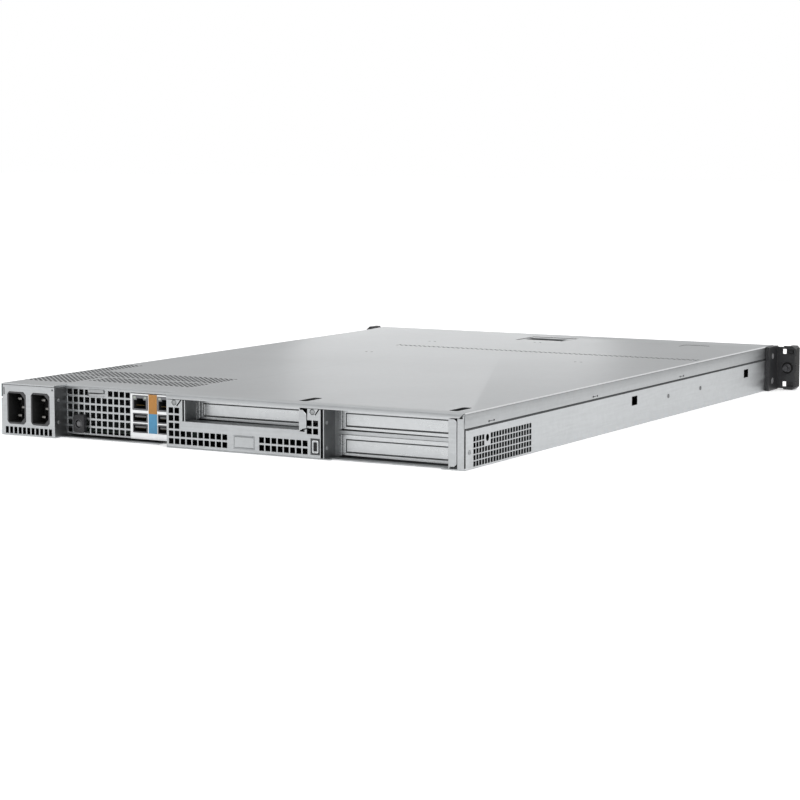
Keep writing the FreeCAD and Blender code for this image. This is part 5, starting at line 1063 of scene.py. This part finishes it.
class SERVER_OT_risers(Step, bpy.types.Operator):
    """The riser cages, their slot covers and the lock."""

    bl_idname = "server.risers"
    bl_label = "Riser cages"

    def build(self, scene):
        cuts = [
            slit("corner_slit", (36.6, 39.6), (41.6, 33.6), 0.95, (-1, 1.4)),
            slit("corner_slit", (-91.4, 39.6), (-87.2, 34.0), 0.95, (-1, 1.4)),
            slit("tongue_slit", (-79.85, 35.0), (-79.85, 24.0), 0.65, (-1, 1.4)),
            slit("tongue_slit", (-80.0, 23.2), (-75.6, 22.4), 0.7, (-1, 1.4)),
        ]
        for x in FACE_RIVETS:
            cuts.append(start_rod("rivet_ring", spot(x, 0.5, 36.5), 2.25 * MM, 1.1 * MM, "Y", 24))
        cuts.append(self.groove((-31.4, -12.6), (4.1, 13.4), 0.5, (-1, 0.42)))
        cuts.append(self.groove((-91.6, -83.2), (3.4, 16.0), 1.15, (-1, 0.6)))
        cage = dress("riser_cage_centre", "zinc_rear", cutters=cuts)
        inside = 1.15
        shade(cage, lambda c, n: n.y < -0.5
              or c.y < at_depth(inside) and (c.z < 20 * MM or not -73.9 * MM < c.x < 34.5 * MM))
        shade_holes(cage, 1, (REAR - 0.97 * MM, REAR - 0.03 * MM))
        shade(cage, lambda c, n: -91.7 * MM < c.x < -83.1 * MM and 3.3 * MM < c.z < 16.1 * MM
              and at_depth(0.9) < c.y < at_depth(0.1))
        # the tunnel's sides take the darker zinc as painted shade
        second_finish(cage, "zinc_painted_mid_shade", lambda c, n: abs(n.x) > 0.5 and c.y < at_depth(inside)
                      and -74 * MM < c.x < 35 * MM)
        # the cage's top faces under the lid are painted black as shade
        second_finish(cage, "painted_black_shade", lambda c, n: n.z > 0.5 and c.z > 37.5 * MM)
        right = dress("riser_cage_right", "zinc_rear")
        wall = -95.4 * MM
        # the cage's wall in the recess takes the darker zinc as painted shade
        second_finish(right, "zinc_painted_mid_shade", lambda c, n: n.x < -0.5 and c.x > wall - 2 * MM)
        for node in ("slot_cover_centre", "slot_cover_right_upper", "slot_cover_right_lower"):
            low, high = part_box(node)
            middle = (low.z + high.z) / 2 / MM
            left, right_end = low.x / MM, high.x / MM
            through = (-1, 16.5)
            lines = [
                self.groove((left + 6.9 - 0.8, right_end - 6.9 + 0.8), (middle - 5.3, middle + 5.3), 0.85,
                            through),
                block_mm("foot_line", (left + 1.2, right_end + 1), through, (middle - 9, middle - 8.05)),
                block_mm("end_line", (right_end - 3.4, right_end - 2.7), through, (middle - 7.8, middle + 9)),
            ]
            cover = dress(node, "bright_plate_and_painted_edge_highlight", 0.2 * MM, lines)
            shade(cover, lambda c, n: n.y > 0.5
                  and at_depth(16.65) < c.y < at_depth(16.35))
        self.jamb_marks()
        self.lock()

    def groove(self, x, z, width, depths):
        """A cutter for a rectangular groove, measured over its outside."""
        outline = block_mm("groove", x, depths, z)
        punch(outline, block_mm("rest", (x[0] + width, x[1] - width), (-2, depths[1] + 2),
                                (z[0] + width, z[1] - width)))
        return outline

    def jamb_marks(self):
        """Two pressed pads on the right cage's wall, painted with the wall's darker zinc as shade."""
        places = [(-95.55, 9.5, z) for z in (8.8, 28.5)]
        pads = heads("wall_pad", places, Vector((-1, 0, 0)), 1.3 * MM, 0.25 * MM, 16)
        mount(join(pads, "wall_pads"), "zinc_painted_mid_shade")

    def lock(self):
        """The lock's plug: a bright ring around a slot whose back is painted black as shade."""
        plug = block_mm("lock_plug", (-90.2, -84.6), (0.12, 0.5), (4.75, 14.65))
        bevel_edges(plug, lambda c, n: abs(n.y) > 0.9, 1.2 * MM, 4)
        slot = block_mm("lock_slot", (-89.0, -85.8), (-1, 3), (6.2, 13.2))
        punch(plug, slot)
        soften(plug, 0.12 * MM)
        mount(plug, "jack_plate_and_painted_fold_highlight")
        # a black back in the slot, painted shade
        back = block_mm("lock_back", (-89.1, -85.7), (0.4, 0.5), (6.1, 13.3))
        sink_face(back, lambda c, n: n.y > 0.9, 0.3 * MM, 0.03 * MM)
        mount(back, "painted_black_shade")


class SERVER_OT_hardware(Step, bpy.types.Operator):
    """Rivets, studs and screws with round heads."""

    bl_idname = "server.hardware"
    bl_label = "Hardware"

    def build(self, scene):
        size = scene.server_hardware
        rear, left = Vector((0, 1, 0)), Vector((-1, 0, 0))
        places = [(x, 0.1, 36.5) for x in FACE_RIVETS]
        rivets = heads("rivet", places, rear, size.rivet, 0.6 * MM, size.sides)
        places = [(x - 0.4, depth, z) for x, depth, z in WALL_RIVETS]
        rivets += heads("rivet", places, left, size.rivet * 0.8, size.head, size.sides)
        place = spot(*CORNER_RIVET)
        corner = round_head("rivet", place, left, size.rivet, size.head, size.sides)
        for turn in range(3):
            angles = (turn * math.pi / 3, 0, 0)
            punch(corner, start_bar("star", place, (0.5 * MM, 2.0 * MM, 0.5 * MM), angles))
        rivets.append(corner)
        mount(join(rivets, "rivets"), "rivet_zinc")
        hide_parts("rear_rivets")
        studs = []
        for side in SIDES:
            places = [(side * 218.4, depth, 18.8) for depth in STUDS]
            studs += heads("stud", places, Vector((side, 0, 0)), 1.9 * MM, size.head, size.sides)
        # the studs take the darker zinc as painted shade
        mount(join(studs, "studs"), "zinc_painted_mid_shade")
        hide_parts("side_studs")
        self.ear_screws(size)
        for side in ("left", "right"):
            dress("captive_screw_" + side, "dark_steel_and_painted_shade", 0.25 * MM)

    def ear_screws(self, size):
        """Countersunk screws with a cross recess."""
        screws = []
        for side in SIDES:
            for z in EAR_SCREW_ROWS:
                face = spot(side * 221.85, 629.0, z)
                outward = Vector((side, 0, 0))
                screw = round_head("screw", face, outward, 3.1 * MM, 1.2 * MM, size.sides, dish=0.05)
                for turn in (0.25, 0.75):
                    angles = (turn * math.pi, 0, 0)
                    punch(screw, start_bar("cross", face, (1.4 * MM, 3.4 * MM, 0.75 * MM), angles))
                screws.append(screw)
        mount(join(screws, "ear_screw_heads"), "screw_steel")
        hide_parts("ear_screws")


class SERVER_OT_ears(Step, bpy.types.Operator):
    """The black rack ears with broken edges."""

    bl_idname = "server.ears"
    bl_label = "Rack ears"

    def build(self, scene):
        for side, name in ((1, "left"), (-1, "right")):
            place = spot(side * 232.55, 640.2, 21.6)
            pockets = [start_rod("screw_pocket", place, 5.6 * MM, 2.0 * MM, "Y", 32)]
            for z in EAR_SLOT_ROWS:
                pockets.append(block_mm("ear_slot", (side * 231.5, side * 238.6), (639, 641.6),
                                        (z - 1.9, z + 1.9)))
            ear = dress("rack_ear_" + name, "ear_coat", 0.3 * MM, pockets, segments=2)
            # the screw pocket, the slots and the ear's outer edge faces are painted black as shade
            second_finish(ear, "painted_black_shade", lambda c, n: at_depth(642.6) < c.y < at_depth(640.25)
                          and 226 * MM < abs(c.x) < 238.9 * MM
                          or n.x * c.x > 0 and abs(n.x) > 0.6 and abs(c.x) > 238.9 * MM)


class SERVER_OT_latch(Step, bpy.types.Operator):
    """The lid's latch: black tub and folded lever."""

    bl_idname = "server.latch"
    bl_label = "Latch"

    def build(self, scene):
        dress("latch_housing", "black_plastic", 0.35 * MM, segments=2)
        dress("latch_lever", "zinc_rear", 0.3 * MM, segments=2)


class SERVER_OT_inside(Step, bpy.types.Operator):
    """Boards, heat sinks, memory and fans."""

    bl_idname = "server.inside"
    bl_label = "Inside"

    def build(self, scene):
        for node in ("cpu_heatsink", "chipset_heatsink"):
            dress(node, "fin_aluminium", 0.12 * MM)
        dress("mainboard", "board_mask", 0.2 * MM)
        dress("fan_frames", "black_plastic", 0.3 * MM)
        self.memory_chips()
        self.board_parts()

    def on_board(self, x, depth, wide, deep, tall):
        """A block that stands on the mainboard."""
        return block_mm("chip", (x - wide / 2, x + wide / 2), (depth - deep / 2, depth + deep / 2),
                        (BOARD_TOP, BOARD_TOP + tall))

    def memory_chips(self):
        """Nine chips on each face of each memory module, 13 mm apart."""
        chip = block_mm("memory_chips", (-0.5, 0.5), (-5.0, 5.0), (-4.2, 4.2))
        soften(chip, 0.15 * MM, 1)
        moves = []
        for x in MODULES:
            for side in SIDES:
                for index in range(9):
                    moves.append(((x + side * 1.25) * MM, -(193 + index * 13) * MM, 26 * MM))
        mount(copies(chip, moves), "chip_black")

    def board_parts(self):
        """Chips, capacitors, chokes and connectors on the mainboard."""
        chips = []
        for x, depth, size, height in CHIPS:
            chip = self.on_board(x, depth, size, size, height)
            sink_face(chip, lambda c, n: n.z > 0.9, 0.8 * MM, -0.15 * MM)
            chips.append(soften(chip, 0.15 * MM, 1))
        draw = random.Random(11)
        for _ in range(26):
            x, depth = draw.uniform(-84, 18), draw.uniform(30, 165)
            if any(abs(x - chip[0]) < 20 and abs(depth - chip[1]) < 20 for chip in CHIPS[0:3:2]):
                continue
            chips.append(soften(self.on_board(x, depth, 5, 4, 1.4), 0.2 * MM, 1))
        mount(join(chips, "board_chips"), "chip_black")
        can = start_rod("board_capacitors", (0, 0, (BOARD_TOP + 4) * MM), 3.9 * MM, 8 * MM, "Z", 20)
        bevel_edges(can, lambda c, n: abs(c.z - (BOARD_TOP + 8) * MM) < TINY, 0.5 * MM, 2)
        sink_face(can, lambda c, n: n.z > 0.9, 0.8 * MM, 0.3 * MM)
        smooth(can, 35)
        moves = [(x * MM, at_depth(depth), 0) for x in (119, 129, 139) for depth in (222, 234, 246, 258)]
        moves += [(x * MM, at_depth(150), 0) for x in (-20, -8, 4)]
        mount(copies(can, moves), "fin_aluminium")
        choke = self.on_board(0, REAR / MM, 10, 10, 6.5)
        choke.name = "board_chokes"
        sink_face(choke, lambda c, n: n.z > 0.9, 1.2 * MM, 0.5 * MM)
        soften(choke, 0.6 * MM)
        moves = [(x * MM, at_depth(depth), 0) for x in (120, 133) for depth in (274, 286, 298)]
        mount(copies(choke, moves), "chip_black")
        plugs = []
        for x, depth, wide, deep, tall in PLUGS:
            plug = self.on_board(x, depth, wide, deep, tall)
            sink_face(plug, lambda c, n: n.z > 0.9, 1.0 * MM, 4 * MM)
            plugs.append(soften(plug, 0.3 * MM, 1))
        mount(join(plugs, "board_plugs"), "lever_plastic")


class SERVER_OT_front(Step, bpy.types.Operator):
    """The front: fascia, drive trays, levers and the front button."""

    bl_idname = "server.front"
    bl_label = "Front"

    def build(self, scene):
        dress("front_fascia", "ear_coat")
        dress("front_power_button", "button_plastic", 0.5 * MM, segments=3)
        for index in range(1, 5):
            dress("drive_carrier_%d" % index, "black_plastic", 0.3 * MM)
            dress("carrier_lever_%d" % index, "lever_plastic", 0.5 * MM, segments=2)


class SERVER_PT_panel(bpy.types.Panel):
    """The builder's buttons and sizes."""

    bl_idname = "SERVER_PT_panel"
    bl_label = "Rack server"
    bl_space_type = "VIEW_3D"
    bl_region_type = "UI"
    bl_category = "Rack server"

    def draw(self, context):
        for operator in OPERATORS:
            self.layout.operator(operator.bl_idname)
        for group in GROUPS:
            settings = getattr(context.scene, group)
            column = self.layout.column()
            for key in settings.__annotations__:
                column.prop(settings, key)


OPERATORS = (SERVER_OT_stage, SERVER_OT_finishes, SERVER_OT_case, SERVER_OT_lid, SERVER_OT_inlets,
             SERVER_OT_rear_panel, SERVER_OT_risers, SERVER_OT_hardware, SERVER_OT_ears, SERVER_OT_latch,
             SERVER_OT_inside, SERVER_OT_front)
GROUPS = {"server_stage": StageSettings, "server_finish": FinishSettings, "server_lid": LidSettings,
          "server_hardware": HardwareSettings}


def register():
    for group, settings in GROUPS.items():
        bpy.utils.register_class(settings)
        setattr(bpy.types.Scene, group, PointerProperty(type=settings))
    for operator in OPERATORS:
        bpy.utils.register_class(operator)
    bpy.utils.register_class(SERVER_PT_panel)


def unregister():
    bpy.utils.unregister_class(SERVER_PT_panel)
    for operator in reversed(OPERATORS):
        bpy.utils.unregister_class(operator)
    for group, settings in GROUPS.items():
        delattr(bpy.types.Scene, group)
        bpy.utils.unregister_class(settings)


def main():
    register()
    for operator in OPERATORS:
        space, name = operator.bl_idname.split(".")
        getattr(getattr(bpy.ops, space), name)()


if __name__ == "__main__":
    main()
